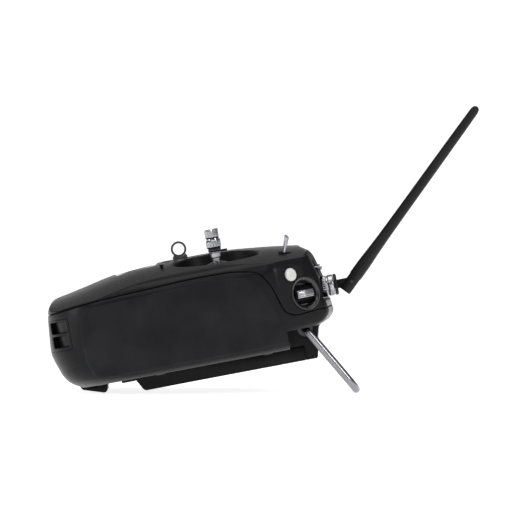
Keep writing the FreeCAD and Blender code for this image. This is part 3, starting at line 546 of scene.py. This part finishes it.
GIMBAL = joint_point("right_stick_left_right")
DIAL_AXLE = joint_point("right_roller_turn")
DIAL_ALONG = joint_axis("right_roller_turn")
DIAL_OUT = DIAL_ALONG.cross((node_middle("right_roller_bar") - DIAL_AXLE).cross(DIAL_ALONG)).normalized()
DIAL_OUT = DIAL_OUT if DIAL_OUT.x > 0 else -DIAL_OUT
ROLLER_DEPTH = 7.6
DIAL = place_at(DIAL_AXLE + DIAL_OUT * ROLLER_DEPTH, DIAL_OUT, DIAL_ALONG)
BUTTON_OUT = -joint_axis("right_button_press")
BUTTON_CAP = 1.2
BUTTON = place_at(node_middle("right_button"), BUTTON_OUT, DIAL_ALONG)
TOGGLE_DEPTH = 4.2
TOGGLES = {}
for kind in ("front", "end"):
    ball = joint_point(f"right_{kind}_toggle_throw")
    out = (node_middle(f"right_{kind}_toggle_lever") - ball).normalized()
    TOGGLES[kind] = place_at(ball + out * TOGGLE_DEPTH, out, Vector((1, 0, 0)))
RING = TO_CASE @ Vector(MOUNTS["strap_ring_hole"]["pos_m"])
HANDLE = joint_point("handle_fold")
HANDLE_LEAN, HANDLE_RADIUS, HANDLE_SPAN = math.radians(29.6), 2.25, 50
ANTENNA = joint_point("antenna_fold")
TRIMS = {"aileron": (50, 82), "elevator": (20.5, 115), "rudder": (-50, 82), "throttle": (-20.5, 115)}
KEYS = {"enter": (15, 85.5), "back": (-15, 85.5)}
POWER_Y = 119
WELL_RADIUS, DOME_RADIUS = 26, 14.8
DISPLAY = (66, 31, 12.5)      # middle y, half width, half height
DISH_RADIUS = 9.9


# ---- case shells

def relieved(name, grow):
    """Case form less its corner notches, the handle's channels and the recess round the antenna nut,
    all moved into the case by grow."""
    tools = [block("recess", (-130, 173.8 - grow, 34 - grow), (130, 220, 48 + grow))]
    for side in SIDES.values():
        near, far = sorted((side * (46 - grow), side * 130))
        tools.append(block("notch", (near, 148.5 - grow, -40), (far, 220, 20 + grow)))
        tools.append(block("channel", (side * HANDLE_SPAN - 3.6 - grow, 108 - grow, -40),
                           (side * HANDLE_SPAN + 3.6 + grow, 149.5, 17.2 + grow)))
    form = case_solid(name, grow)
    carve(form, *tools)
    return form


def seam_solid(name, offset):
    """Everything in front of the seam line, with the line moved across itself by offset."""
    line = [Vector((y, curve_value(SEAM, y))) for y in (-10 + 0.5 * step for step in range(411))]
    points = []
    for index, point in enumerate(line):
        tangent = line[min(index + 1, len(line) - 1)] - line[max(index - 1, 0)]
        points.append(tuple(point + Vector((-tangent.y, tangent.x)).normalized() * offset))
    return side_prism(name, points + [(points[-1][0], 140), (points[0][0], 140)], 130)


def make_shells():
    outer = relieved("outer", 0)
    inner = relieved("inner", WALL)
    shell = copied(outer, "shell")

    # fine groove along the seam, 1 mm deep
    groove = seam_solid("groove", -0.32)
    carve(groove, seam_solid("above", 0.32), case_solid("core", 1.0))
    carve(shell, inner, groove)

    half = seam_solid("half", 0)
    front = copied(shell, "front_shell")
    boolean(front, half, "INTERSECT")
    rear = copied(shell, "rear_shell")
    boolean(rear, half)
    drop(half, shell)
    return outer, front, rear


def cut_front(front):
    tools = []
    rows = [(WELL_RADIUS, 30, False), (WELL_RADIUS, -0.9, True), (WELL_RADIUS + 0.25, -0.35, True),
            (WELL_RADIUS + 0.9, 0.02, True), (WELL_RADIUS + 1.6, 6, True)]
    for side in SIDES.values():
        tools.append(crown_shaft("well", side * GIMBAL.x, GIMBAL.y, rows))
    middle, half_x, half_y = DISPLAY
    tools.append(face_slot("window", 0, middle, half_x, half_y, 3, 9, 0.5))
    for x, y in TRIMS.values():
        half = (5, 0.8) if abs(x) > 30 else (0.8, 5)
        tools.append(face_slot("trim_slot", x, y, *half, 0.7, 9, 0.05))
    for x, y in KEYS.values():
        tools.append(crown_shaft("key_hole", x, y, [(4.1, 55, False), (3.95, -0.3, True),
                                                    (4.05, 0.02, True), (4.1, 4, True)], 48))
    tools.append(face_slot("power_slot", 0, POWER_Y + 2, 4, 9, 1.5, 9, 0.3))
    for side in SIDES.values():
        for place, radius in ((BUTTON, 4.9), (TOGGLES["front"], 4.0), (TOGGLES["end"], 4.0)):
            tools.append(plug("hole", radius, -9, 20, mirror(place, side), 64))
        tools.append(plug("dish_hole", DISH_RADIUS, -14, 20, mirror(DIAL, side), 96))
    carve(front, *tools)


def mirror(place, side):
    """The same place on the side asked for; +X keeps running along the case's side."""
    if side == 1:
        return place
    point = place.translation
    z, x = place.col[2].xyz, place.col[0].xyz
    return place_at((-point.x, point.y, point.z), (-z.x, z.y, z.z), (-x.x, x.y, x.z))


def make_case():
    outer, front, rear = make_shells()
    bay_box = side_prism("bay_box", BAY, 120)
    bay = copied(front, "antenna_bay")
    boolean(bay, bay_box, "INTERSECT")
    boolean(front, bay_box)
    drop(bay_box)
    carve(bay, plug("connector_hole", 3.65, -40, 20, place_at((0, ANTENNA.y - 20, ANTENNA.z), (0, 1, 0))))
    cut_front(front)
    for side in SIDES.values():
        bush = lathe("bush_hole", [(0, -9), (4.05, -9), (4.05, 0.3), (5.4, 0.3), (5.4, 20), (0, 20)],
                     mirror(TOGGLES["end"], side), 64)
        carve(bay, bush, plug("dish_hole", DISH_RADIUS, -14, 20, mirror(DIAL, side), 96))

    vents = []
    for name, side in SIDES.items():
        near, far = sorted((side * 57, side * 120))
        window = block("window", (near, -10, 33.6), (far, 21.5, 52.2))
        vent = copied(outer, f"{name}_vent_part")
        boolean(vent, window, "INTERSECT")
        boolean(rear, window)
        drop(window)
        carve(vent, plug("hollow", 26.5, 0, 90, place_at((side * 63, 42, 0)), 96))
        for low in (35.4, 43.8):
            slot = block("slot", (near + 2.2, 10.6, low), (far - 2.2, 19.5, low + 6.9))
            carve(slot, plug("ramp", 29, 0, 90, place_at((side * 64, 41.2, 0)), 128))
            carve(vent, slot)
        vents.append(vent)

    carve(rear, block("opening", (-38, 60, -5), (38, 153, 13)))
    box_end = side_prism("box_end", [(157.2, 0), (163.6, 0), (164.4, 1), (166.2, 9.5), (166.8, 12),
                                     (157.2, 12)], 42)
    boolean(rear, box_end, "UNION")
    drop(box_end)
    for side in SIDES.values():
        carve(rear, plug("seat", 4.6, 0, 14, place_at((side * 40, HANDLE.y, HANDLE.z), (side, 0, 0))))
    finish_piece(front, "case", "case", ["front_case"])
    finish_piece(rear, "case", "case", ["rear_case"])
    finish_piece(bay, "case", "bay", ["antenna_bay_plate"])
    finish_piece(merged("corner_louvres", *vents), "case", "case", ["corner_vents"])
    drop(outer)


# ---- grip panels

PANEL = [(26.5, 46), (28.5, 55), (50, 57.4), (72, 58.2), (100, 59.2), (118, 59), (128, 57.6), (134, 54.6),
         (138, 50), (142, 41), (147, 27), (147.5, 14), (144, 11.6), (100, 11.2), (50, 11.2), (33, 12),
         (27.5, 20), (25.8, 33)]
PANEL_RISE, PANEL_EDGE, PANEL_SINK = 0.75, 3.6, -0.25


def flank_point(y, z, rise=0.0):
    """Point on the right flank, moved outwards by rise."""
    side, grip, _ = (curve_value(LEVELS, z, column) for column in (1, 2, 3))
    centre_y = GRIP_END + grip + GRIP_RADIUS
    x = HALF_WIDTH - side
    if y < centre_y:
        x += math.sqrt(max(GRIP_RADIUS ** 2 - (centre_y - y) ** 2, 1)) - GRIP_RADIUS
    if y > 144:
        x -= (y - 144) ** 2 / 20
    return Vector((x + rise, y, z))


def flank_out(y, z):
    along = flank_point(y + 0.5, z) - flank_point(y - 0.5, z)
    upward = flank_point(y, z + 0.5) - flank_point(y, z - 0.5)
    return along.cross(upward).normalized()


def smooth_loop(corners, steps=5):
    """Closed curve through the corners."""
    points = []
    count = len(corners)
    for index in range(count):
        p0, p1, p2, p3 = (Vector(corners[(index + offset) % count]) for offset in (-1, 0, 1, 2))
        for step in range(steps):
            t = step / steps
            points.append(0.5 * (2 * p1 + (p2 - p0) * t + (2 * p0 - 5 * p1 + 4 * p2 - p3) * t ** 2
                                 + (3 * p1 - p0 - 3 * p2 + p3) * t ** 3))
    return points


def depth_inside(point, loop):
    """Distance from a point to a closed loop, negative outside it."""
    nearest = 1e9
    inside = False
    for a, b in zip(loop, loop[1:] + loop[:1]):
        edge = b - a
        share = max(0, min(1, (point - a).dot(edge) / max(edge.length_squared, 1e-12)))
        nearest = min(nearest, (point - a - edge * share).length)
        if (a.y > point.y) != (b.y > point.y):
            if point.x < a.x + (point.y - a.y) / (b.y - a.y) * edge.x:
                inside = not inside
    return nearest if inside else -nearest


def make_panels():
    loop = smooth_loop(PANEL)
    ys = [24 + 126 * step / 180 for step in range(181)]
    zs = [9.6 + 51.4 * step / 80 for step in range(81)]
    top, under, kept = [], [], []
    for y in ys:
        for z in zs:
            depth = depth_inside(Vector((y, z)), loop)
            share = max(0, min(1, depth / PANEL_EDGE))
            rise = PANEL_SINK + (PANEL_RISE - PANEL_SINK) * share * share * (3 - 2 * share)
            out = flank_out(y, z)
            top.append(flank_point(y, z) + out * rise)
            under.append(flank_point(y, z) - out * 0.9)
            kept.append(depth > -0.4)
    rows, columns = len(ys), len(zs)
    total = rows * columns
    faces = []
    edges = {}
    for i in range(rows - 1):
        for j in range(columns - 1):
            quad = (i * columns + j, (i + 1) * columns + j, (i + 1) * columns + j + 1, i * columns + j + 1)
            if any(kept[corner] for corner in quad):
                faces.append(quad)
                faces.append(tuple(total + corner for corner in reversed(quad)))
                for a, b in zip(quad, quad[1:] + quad[:1]):
                    edges[(a, b)] = (b, a) not in edges
                    if (b, a) in edges:
                        edges[(b, a)] = False
    faces += [(b, a, total + a, total + b) for (a, b), open_edge in edges.items() if open_edge]
    used = sorted({corner for face in faces for corner in face})
    place_of = {corner: index for index, corner in enumerate(used)}
    both = top + under
    faces = [tuple(place_of[corner] for corner in face) for face in faces]
    right = mesh_object("right_grip", [both[corner] for corner in used], faces)
    left = flipped(right, "left_grip")
    for piece, name in ((right, "right"), (left, "left")):
        finish_piece(piece, "case", "grip", [f"{name}_grip_panel"])


# ---- gimbals and sticks

def make_wells():
    rows = [(25.9, 57, False), (25.9, -1.0, True), (25.5, -0.95, True), (25.2, -2.2, True),
            (24.7, 62.6, False), (24.2, 61.2, False), (23.2, 60.2, False), (20.2, 59.6, False),
            (16.9, 59.5, False), (16.2, 59.2, False), (15.8, 58.3, False), (15.8, 57, False)]
    wells = [crown_shaft("well", side * GIMBAL.x, GIMBAL.y, rows, 120, ring=True)
             for side in SIDES.values()]
    finish_piece(merged("gimbal_wells", *wells), "case", "dark", ["gimbal_bezels"])


def make_stick(name, side):
    centre = place_at((side * GIMBAL.x, GIMBAL.y, GIMBAL.z))
    body = f"{name}_stick"
    ball = DOME_RADIUS
    cap = [(0, ball)]
    for radius, order in ((ball, range(1, 29)), (ball - 1.5, range(28, 0, -1))):
        for step in order:
            angle = math.radians(60.9 * step / 28)
            cap.append((radius * math.sin(angle), radius * math.cos(angle)))
    cap.append((0, ball - 1.5))
    finish_piece(lathe(f"{name}_dome", cap, centre, 96), body, "gloss",
                 [f"{name}_gimbal_dome"])

    sleeve = lathe(f"{name}_sleeve", rounded_profile(
        [(0, 14, 0), (2.95, 14, 0.2), (2.95, 16.6, 0.3), (3.1, 17.0, 0.3), (3.1, 19.7, 0.2),
         (3.5, 19.9, 0.1), (3.5, 20.2, 0), (0, 20.2, 0)]), centre)
    stem = lathe(f"{name}_stem", rounded_profile(
        [(0, -2.4, 0), (3.2, -2.4, 0.5), (3.2, 13.2, 0.3), (0, 13.2, 0)]), centre, 48)
    cross = rod(f"{name}_cross", 1.2, 9.7, 0.3, place_at(centre.translation, (0, 1, 0)))
    finish_piece(merged(f"{name}_shaft", sleeve, stem, cross), body, "metal",
                 [f"{name}_stick_shaft"])

    ring = lathe(f"{name}_lock_ring", rounded_profile(
        [(0, 20.3, 0), (3.4, 20.3, 0.2), (3.8, 20.9, 0.3), (3.8, 21.9, 0.3), (3.5, 22.35, 0.2),
         (0, 22.35, 0)]), centre, 96,
        ripple=lambda angle, height: 0.07 * math.cos(24 * angle) if 20.8 < height < 22 else 0)
    finish_piece(ring, body, "smoky", [f"{name}_stick_lock_ring"])

    def flutes(angle, height):
        """Shallow lengthwise flutes, fading at the ends of the gripped length."""
        return -0.28 * max(0, math.cos(14 * angle)) ** 6 if 23.3 < height < 26.6 else 0
    grip = rounded_profile([(0, 22.4, 0), (3.7, 22.4, 0.2), (4.45, 23.2, 0.35), (4.45, 26.7, 0.35),
                            (3.75, 27.5, 0.25), (3.62, 28.4, 0.1), (0, 28.4, 0)], 6)
    finish_piece(lathe(f"{name}_grip_ring", grip, centre, 168, ripple=flutes), body, "stick",
                 [f"{name}_stick_grip"], degrees=40)

    def teeth(angle, height):
        return -0.22 * max(0, math.cos(12 * angle)) ** 4 if 29.3 < height < 33.2 else 0
    crown = rounded_profile([(0, 28.45, 0), (3.7, 28.45, 0.2), (4.2, 29.2, 0.3), (4.2, 33.3, 0.3),
                             (3.7, 33.5, 0.2), (2.4, 32.6, 0.4), (0, 31.9, 0)], 6)
    tip = lathe(f"{name}_tip", crown, centre, 168, ripple=teeth)
    for turn in (0, 90):
        spin = centre @ Matrix.Rotation(math.radians(turn), 4, "Z") @ Matrix.Rotation(math.pi / 2, 4, "X")
        carve(tip, prism("notch", [(-1.0, 34.5), (0, 31.3), (1.0, 34.5)], -6, 6, spin))
    finish_piece(tip, body, "stick", [f"{name}_stick_tip"], degrees=40)


# ---- toggles, buttons, rollers

def make_toggle(name, kind, side):
    label = f"{name}_{kind}_toggle"
    place = mirror(TOGGLES[kind], side)
    ball = [(2.2 * math.sin(math.pi * step / 20), -TOGGLE_DEPTH - 2.2 * math.cos(math.pi * step / 20))
            for step in range(0, 18)]
    bat = ball + [(0.76, -2.0), (0.72, 0.5), (0.82, 4.0), (0.95, 7.0), (1.06, 8.9), (1.03, 9.45),
                  (0.84, 9.8), (0.5, 9.9), (0, 9.9)]
    finish_piece(lathe(f"{label}_bat", bat, place, 40), label, "chrome", [f"{label}_lever"])


def make_switches():
    """The four switch bodies with their bushes and round nuts."""
    bodies = []
    for side in SIDES.values():
        for kind in TOGGLES:
            wide, deep = (4.9, -12) if kind == "front" else (4.4, -8.2)
            profile = rounded_profile(
                [(2.65, -5.6, 0), (2.65, -1.7, 0.2), (3.1, 0.25, 0.3), (3.95, 0.25, 0.25), (3.95, -4, 0.1),
                 (wide, -4, 0.3), (wide, deep, 0.3), (0.01, deep, 0), (0.01, -7.2, 0), (2.65, -7.2, 0)], 3)
            bodies.append(lathe("switch", profile, mirror(TOGGLES[kind], side), 56))
    finish_piece(merged("switch_bodies", *bodies), "case", "dark", ["toggle_switches"])


def make_button(name, side):
    place = mirror(BUTTON, side)
    low, high = BUTTON_DEPTHS[name]
    profile = rounded_profile([(0, low, 0), (4, low, 0.2), (4, high - 0.9, 0.5), (3.3, high - 0.12, 0.5),
                               (1.6, high, 0.4), (0, high, 0)], 6)
    finish_piece(lathe(f"{name}_push_button", profile, place, 72), f"{name}_button", "white",
                 [f"{name}_button"])


def node_depths(node, place):
    """Lowest and highest point of a CAD node along a place's own +Z."""
    out = place.col[2].xyz
    heights = [(TO_CASE @ vertex.co - place.translation).dot(out)
               for vertex in frame["nodes"][node].data.vertices]
    return min(heights), max(heights)


BUTTON_DEPTHS = {name: node_depths(f"{name}_button", mirror(BUTTON, side)) for name, side in SIDES.items()}


def make_button_housings():
    bodies = []
    for name, side in SIDES.items():
        place = mirror(BUTTON, side)
        top = BUTTON_DEPTHS[name][1] - BUTTON_CAP
        profile = rounded_profile(
            [(0.01, top - 5.2, 0), (4.3, top - 5.2, 0), (4.3, top + 0.1, 0.2), (4.85, top + 0.1, 0.2),
             (4.85, top - 12, 0.3), (0.01, top - 12, 0)], 3)
        bodies.append(lathe("housing", profile, place, 64))
    finish_piece(merged("button_cups", *bodies), "case", "dark", ["button_housings"])


def make_roller(name, side):
    place = mirror(DIAL, side)
    along = place_at(place @ Vector((0, 0, -ROLLER_DEPTH)), place.col[0].xyz, place.col[2].xyz)
    drum = rod("drum", 6.2, 6.2, 0.4, along, 96, lambda angle, height: 0.05 * math.cos(40 * angle))
    axle = rod("axle", 1.5, 8.2, 0.3, along)
    finish_piece(merged(f"{name}_roller_drum", drum, axle), f"{name}_roller", "dark",
                 [f"{name}_roller"])
    base = 6.2 - ROLLER_DEPTH
    section = [(-2.5, base - 0.5), (2.5, base - 0.5)]
    ribs = 5
    steps = 60
    for step in range(steps + 1):
        share = step / steps
        across = 2.5 - 5 * share
        rise = 1.55 - 0.75 * (across / 2.5) ** 2
        groove = 0.34 * max(0, math.cos(2 * math.pi * ribs * share)) ** 2
        section.append((across, base + rise - groove))
    bar = prism(f"{name}_thumb_bar", section, -5.7, 5.7, place @ SIDE_VIEW)
    finish_piece(bar, f"{name}_roller", "stick", [f"{name}_roller_bar"], bevel=0.3,
                 degrees=60)


def make_dishes():
    dishes = []
    for side in SIDES.values():
        place = mirror(DIAL, side)
        profile = rounded_profile(
            [(0.01, -15.4, 0), (9.85, -15.4, 0.4), (9.85, -0.4, 0.1), (10.0, 0.1, 0.15), (9.5, 0.42, 0.5),
             (8.6, -0.1, 0.9), (7.5, -1.5, 1.4), (6.7, -3.4, 0.8), (6.6, -4.2, 0.2), (0.01, -4.3, 0)], 8)
        dish = lathe("dish", profile, place, 112)
        upper = prism("slot", rounded_rectangle(6.55, 5.8, 1.7), -9, 10, place)
        lower = prism("slot", rounded_rectangle(6.6, 6.6, 1.2), -14.2, -4.6, place)
        along = place_at(place @ Vector((0, 0, -ROLLER_DEPTH)), place.col[0].xyz)
        carve(dish, upper, lower, plug("axle_hole", 1.56, -9, 9, along, 24))
        dishes.append(dish)
    finish_piece(merged("roller_dishes", *dishes), "case", "dish", ["dial_housings"])


# ---- antenna

def make_antenna():
    axis = place_at((0, 0, ANTENNA.z), (0, 1, 0), (1, 0, 0))
    connector = lathe("connector", rounded_profile(
        [(0, 160, 0), (3.6, 160, 0.2), (3.6, 182.2, 0.2), (2.4, 182.2, 0.1), (2.4, 183.2, 0.2),
         (0, 183.2, 0)]), axis, 56)
    finish_piece(connector, "case", "smoky", ["antenna_connector"])

    def knurl(angle, height):
        return 0.09 * math.cos(36 * angle) if 175.2 < height < 177.4 else 0
    nut = rounded_profile(
        [(3.62, 174.4, 0), (5.9, 174.4, 0.3), (6.45, 175, 0.3), (6.45, 177.5, 0.3), (5.95, 177.9, 0.15),
         (5.95, 178.7, 0.15), (6.45, 179.1, 0.3), (6.45, 181.7, 0.35), (5.9, 182.2, 0.3),
         (3.62, 182.2, 0)])
    finish_piece(lathe("antenna_lock_nut", nut, axis, 216, ripple=knurl), "case", "metal",
                 ["antenna_nut"], degrees=40)

    collar = rounded_profile(
        [(2.46, 182.4, 0), (6.35, 182.4, 0.3), (6.45, 182.7, 0.3), (6.45, 183.8, 0.4), (5.9, 184.3, 0.4),
         (0.01, 184.3, 0), (0.01, 183.4, 0), (2.46, 183.4, 0)])
    tongue_shape = [(183.9, -2.6)] + [(ANTENNA.y + 2.75 * math.cos(math.radians(angle)),
                                       2.75 * math.sin(math.radians(angle)))
                                      for angle in range(-80, 81, 8)] + [(183.9, 2.6)]
    tongue = side_prism("tongue", [(y, ANTENNA.z + z) for y, z in tongue_shape], 1.5)
    finish_piece(merged("antenna_collar", lathe("collar", collar, axis, 72), tongue), "antenna_swivel",
                 "antenna", ["antenna_swivel"], bevel=0.2)

    out = node_middle("antenna_mast") - ANTENNA
    out.x = 0
    place = place_at(ANTENNA, out, (1, 0, 0))
    mast = rounded_profile(
        [(0, -7.2, 0), (3.9, -7.2, 0.4), (4, -6.4, 0.4), (4, 13, 4), (3.62, 21, 4), (3.32, 30, 6),
         (3.1, 48, 8), (2.95, 88, 12), (2.72, 121, 5), (2.6, 127.6, 1), (1.9, 129.9, 0.9), (0, 130.6, 0)], 6)
    blade = lathe("mast", mast, place, 64)
    slot = prism("slot", [(-1.65, -20), (1.65, -20), (1.65, 20), (-1.65, 20)], -10, 4, place)
    carve(blade, slot, plug("bore", 1, -9, 9, place_at(ANTENNA, (1, 0, 0)), 32))
    finish_piece(blade, "antenna_mast", "antenna", ["antenna_mast"])
    pin = rod("hinge_pin", 1, 3.4, 0.25, place_at(ANTENNA, (1, 0, 0)))
    finish_piece(pin, "antenna_mast", "steel", ["antenna_hinge_pin"])


# ---- handle, ring, foot and cover

def bent_path(corners, radii, steps=12):
    """Straight runs joined by tangent arcs."""
    path = [corners[0]]
    for before, here, after, radius in zip(corners, corners[1:], corners[2:], radii):
        centre, start, end, _ = corner_arc(before, here, after, radius)
        for step in range(steps + 1):
            path.append(centre + start.slerp(end, step / steps).normalized() * radius)
    path.append(corners[-1])
    return path


def make_handle():
    corners = [TO_CASE @ vertex.co - HANDLE for vertex in frame["nodes"]["handle"].data.vertices]
    down = Vector((0, math.sin(HANDLE_LEAN), -math.cos(HANDLE_LEAN)))
    length = max(corner.dot(down) for corner in corners) - HANDLE_RADIUS
    right = [(41.5, 0), (HANDLE_SPAN, 0), (HANDLE_SPAN, length)]
    ends = right + [(-x, along) for x, along in reversed(right)]
    path = bent_path([HANDLE + Vector((x, 0, 0)) + down * along for x, along in ends], [3, 9, 9, 3])
    finish_piece(swept("carrying_handle", path, HANDLE_RADIUS, 40), "handle", "handle",
                 ["handle"])


def make_ring():
    section = [(3.45, -1.0), (3.55, -1.1), (4.65, -1.1), (4.75, -1.0), (4.75, 1.0), (4.65, 1.1),
               (3.55, 1.1), (3.45, 1.0)]
    ring = lathe("strap_eye", section, place_at(RING, (1, 0, 0)), 96)
    finish_piece(ring, "case", "steel", ["strap_ring"])
    foot = pad("foot", (0, RING.y), 3.5, 4.5, 1, CROWN_TOP - 1, CROWN_TOP + 1.5)
    bead = pad("bead", (0, RING.y), 2.6, 3.9, 0.8, CROWN_TOP + 1.4, CROWN_TOP + 2.4)
    stem = plug("stem", 1.9, CROWN_TOP - 7, CROWN_TOP, Matrix.Translation((0, RING.y, 0)), 32)
    eye = plug("eye", 4.8, -6, 6, place_at(RING, (1, 0, 0)), 64)
    boolean(foot, eye)
    boolean(bead, eye)
    drop(eye)
    finish_piece(merged("strap_eye_bracket", foot, bead, stem), "case", "steel",
                 ["strap_bracket"], bevel=0.25)


def make_back():
    cover = side_prism("cover", [(53.5, 8.7), (53.8, 7.4), (57.5, 0.9), (59, 0), (157, 0), (157, 8.7)], 42)
    carve(cover, side_prism("hollow", [(60.5, 2), (155, 2), (155, 20), (60.5, 20)], 40))
    for index in range(7):
        y = 66 + 4 * index
        carve(cover, side_prism("groove", [(y, -1), (y + 1.6, -1), (y + 1.3, 0.5), (y + 0.3, 0.5)], 16))
    finish_piece(cover, "battery_cover", "case", ["battery_cover"], bevel=0.5)
    latch = side_prism("latch", [(45, 6.2), (53.4, 6.2), (53.4, 8.6), (47, 8.6), (45, 7.6)], 12)
    for index in range(4):
        y = 46.4 + 1.6 * index
        carve(latch, side_prism("groove", [(y, 5), (y + 0.9, 5), (y + 0.7, 6.7), (y + 0.2, 6.7)], 9))
    finish_piece(latch, "battery_latch", "case", ["battery_latch"], bevel=0.3)
    foot = side_prism("foot", [(19.8, 9.9), (21.4, 7.2), (34.2, 3.1), (35.9, 4.1), (36.9, 8.95),
                               (22.4, 8.95)], 36)
    finish_piece(foot, "case", "case", ["rear_foot"], bevel=0.6)


# ---- face controls and display

def make_face():
    middle, half_x, half_y = DISPLAY
    rows = [(-0.12, -1.3), (-0.12, -0.45), (-0.35, -0.2)]
    lens = face_plate("screen_lens", 0, middle, half_x, half_y, 2.8, rows)
    finish_piece(lens, "case", "lens", ["display_lens"], degrees=25)

    for name, (x, y) in TRIMS.items():
        top = crown_level(x, y)
        wide, thin = ((2.5, 1.2), (1.2, 0.6)) if abs(x) > 30 else ((1.2, 2.5), (0.6, 1.2))
        stem = pad("stem", (x, y), *thin, 0.2, top - 6, top + 1)
        cap = pad("cap", (x, y), *wide, 0.5, top + 0.6, top + 1.6)
        finish_piece(merged(f"{name}_trim_tab", stem, cap), f"{name}_trim", "dark",
                     [f"{name}_trim_lever"], bevel=0.2)
    for name, (x, y) in KEYS.items():
        top = crown_level(x, y) - 0.3
        profile = rounded_profile([(0, -3.4, 0), (3.7, -3.4, 0.2), (3.7, 0.35, 0.3), (3, 0.5, 0.4),
                                   (0, 0.55, 0)])
        finish_piece(lathe(f"{name}_key_cap", profile, place_at((x, y, top)), 56), f"{name}_key", "dark",
                     [f"{name}_key"])
    top = crown_level(0, POWER_Y)
    neck = pad("neck", (0, POWER_Y), 2, 2, 0.4, top - 7, top - 1)
    knob = pad("knob", (0, POWER_Y), 3.2, 3.5, 0.8, top - 1.2, top + 1)
    finish_piece(merged("power_slider", neck, knob), "power_switch", "dark",
                 ["power_switch"], bevel=0.3)


# ---- CAD pieces that stay as they are

KEPT = {
    "main_board": "board", "radio_board": "board", "display_module": "screen", "battery_pack": "wrap",
    "speaker": "steel", "case_screws": "steel", "handle_bushes": "steel",
    "right_gimbal_frame": "inner", "left_gimbal_frame": "inner",
    "right_gimbal_yoke": "inner", "left_gimbal_yoke": "inner",
}


def finish_kept():
    for node, material in KEPT.items():
        piece = frame["nodes"][node]
        piece.data.materials.clear()
        piece.data.materials.append(MATERIALS[material])
        for polygon in piece.data.polygons:
            polygon.material_index = 0


# ---- floor, light and camera

def make_stage():
    """Pale floor that curves up far away all round, so that no horizon shows."""
    rows = [(1.5, 0), (4, 0), (7, 0), (8.5, 0.1), (9.4, 0.45), (9.9, 1.0), (10, 1.6)]
    vertices = [(0, 0, 0)]
    steps = 96
    for radius, height in rows:
        for step in range(steps):
            angle = 2 * math.pi * step / steps
            vertices.append((radius * math.cos(angle), radius * math.sin(angle), height))
    faces = [(0, 1 + step, 1 + (step + 1) % steps) for step in range(steps)]
    faces += [(1 + a, 1 + d, 1 + c, 1 + b) for a, b, c, d in band_faces(len(rows), steps)]
    mesh = bpy.data.meshes.new("floor")
    mesh.from_pydata(vertices, [], faces)
    floor = new_object("floor", mesh)
    for polygon in mesh.polygons:
        polygon.use_smooth = True
    material, tree, shader = node_tree("pale_floor")
    cloud = noise_node(tree, 3, 2)
    link(tree, ramp_node(tree, cloud.outputs["Fac"], grey(0.78), grey(0.80)), shader.inputs["Base Color"])
    shader.inputs["Roughness"].default_value = 0.9
    shader.inputs["Specular IOR Level"].default_value = 0.1
    shader.inputs["Emission Color"].default_value = (1, 1, 1, 1)
    shader.inputs["Emission Strength"].default_value = 0.86
    mesh.materials.append(material)


def add_light(name, place, target, size, power, size_y=None):
    data = bpy.data.lights.new(name, "AREA")
    data.shape = "RECTANGLE"
    data.size = size
    data.size_y = size_y or size
    data.energy = power
    light = new_object(name, data)
    light.location = place
    light.rotation_euler = (Vector(target) - Vector(place)).to_track_quat("-Z", "Y").to_euler()


def make_lights():
    world = bpy.data.worlds.new("studio")
    bpy.context.scene.world = world
    world.use_nodes = True
    background = world.node_tree.nodes["Background"]
    background.inputs["Color"].default_value = (1, 1, 1, 1)
    background.inputs["Strength"].default_value = 0.22
    add_light("overhead", (0.05, -0.05, 1.3), (0, 0, 0.05), 0.9, 7, size_y=1.1)
    add_light("left", (0.55, -1.2, 0.35), (0, -0.1, 0.06), 0.3, 4, size_y=0.6)
    add_light("key", (1.3, -0.6, 1.2), (0, 0, 0.06), 0.6, 5)
    add_light("right", (0.8, 1.0, 0.7), (0, 0.05, 0.06), 0.3, 6, size_y=0.5)


CAMERA_AIM = Vector((0, -0.0027, 0.0796))
CAMERA_DISTANCE, CAMERA_ELEVATION, CAMERA_YAW = 5.5, 0.6, -0.25
LENS = 628


def make_camera():
    data = bpy.data.cameras.new("photo_view")
    data.lens = LENS
    data.sensor_width = 36
    data.clip_end = 50
    camera = new_object("photo_view", data)
    rise, yaw = math.radians(CAMERA_ELEVATION), math.radians(CAMERA_YAW)
    away = Vector((math.cos(rise) * math.cos(yaw), math.cos(rise) * math.sin(yaw), math.sin(rise)))
    camera.location = CAMERA_AIM + away * CAMERA_DISTANCE
    camera.rotation_euler = (-away).to_track_quat("-Z", "Y").to_euler()
    bpy.context.scene.camera = camera


make_camera()
make_lights()
make_stage()
bpy.context.scene.view_settings.view_transform = "Standard"
make_case()
make_panels()
make_wells()
make_face()
make_switches()
make_button_housings()
make_dishes()
for side_name, side_sign in SIDES.items():
    make_stick(side_name, side_sign)
    for toggle_kind in TOGGLES:
        make_toggle(side_name, toggle_kind, side_sign)
    make_button(side_name, side_sign)
    make_roller(side_name, side_sign)
make_antenna()
make_handle()
make_ring()
make_back()
finish_kept()
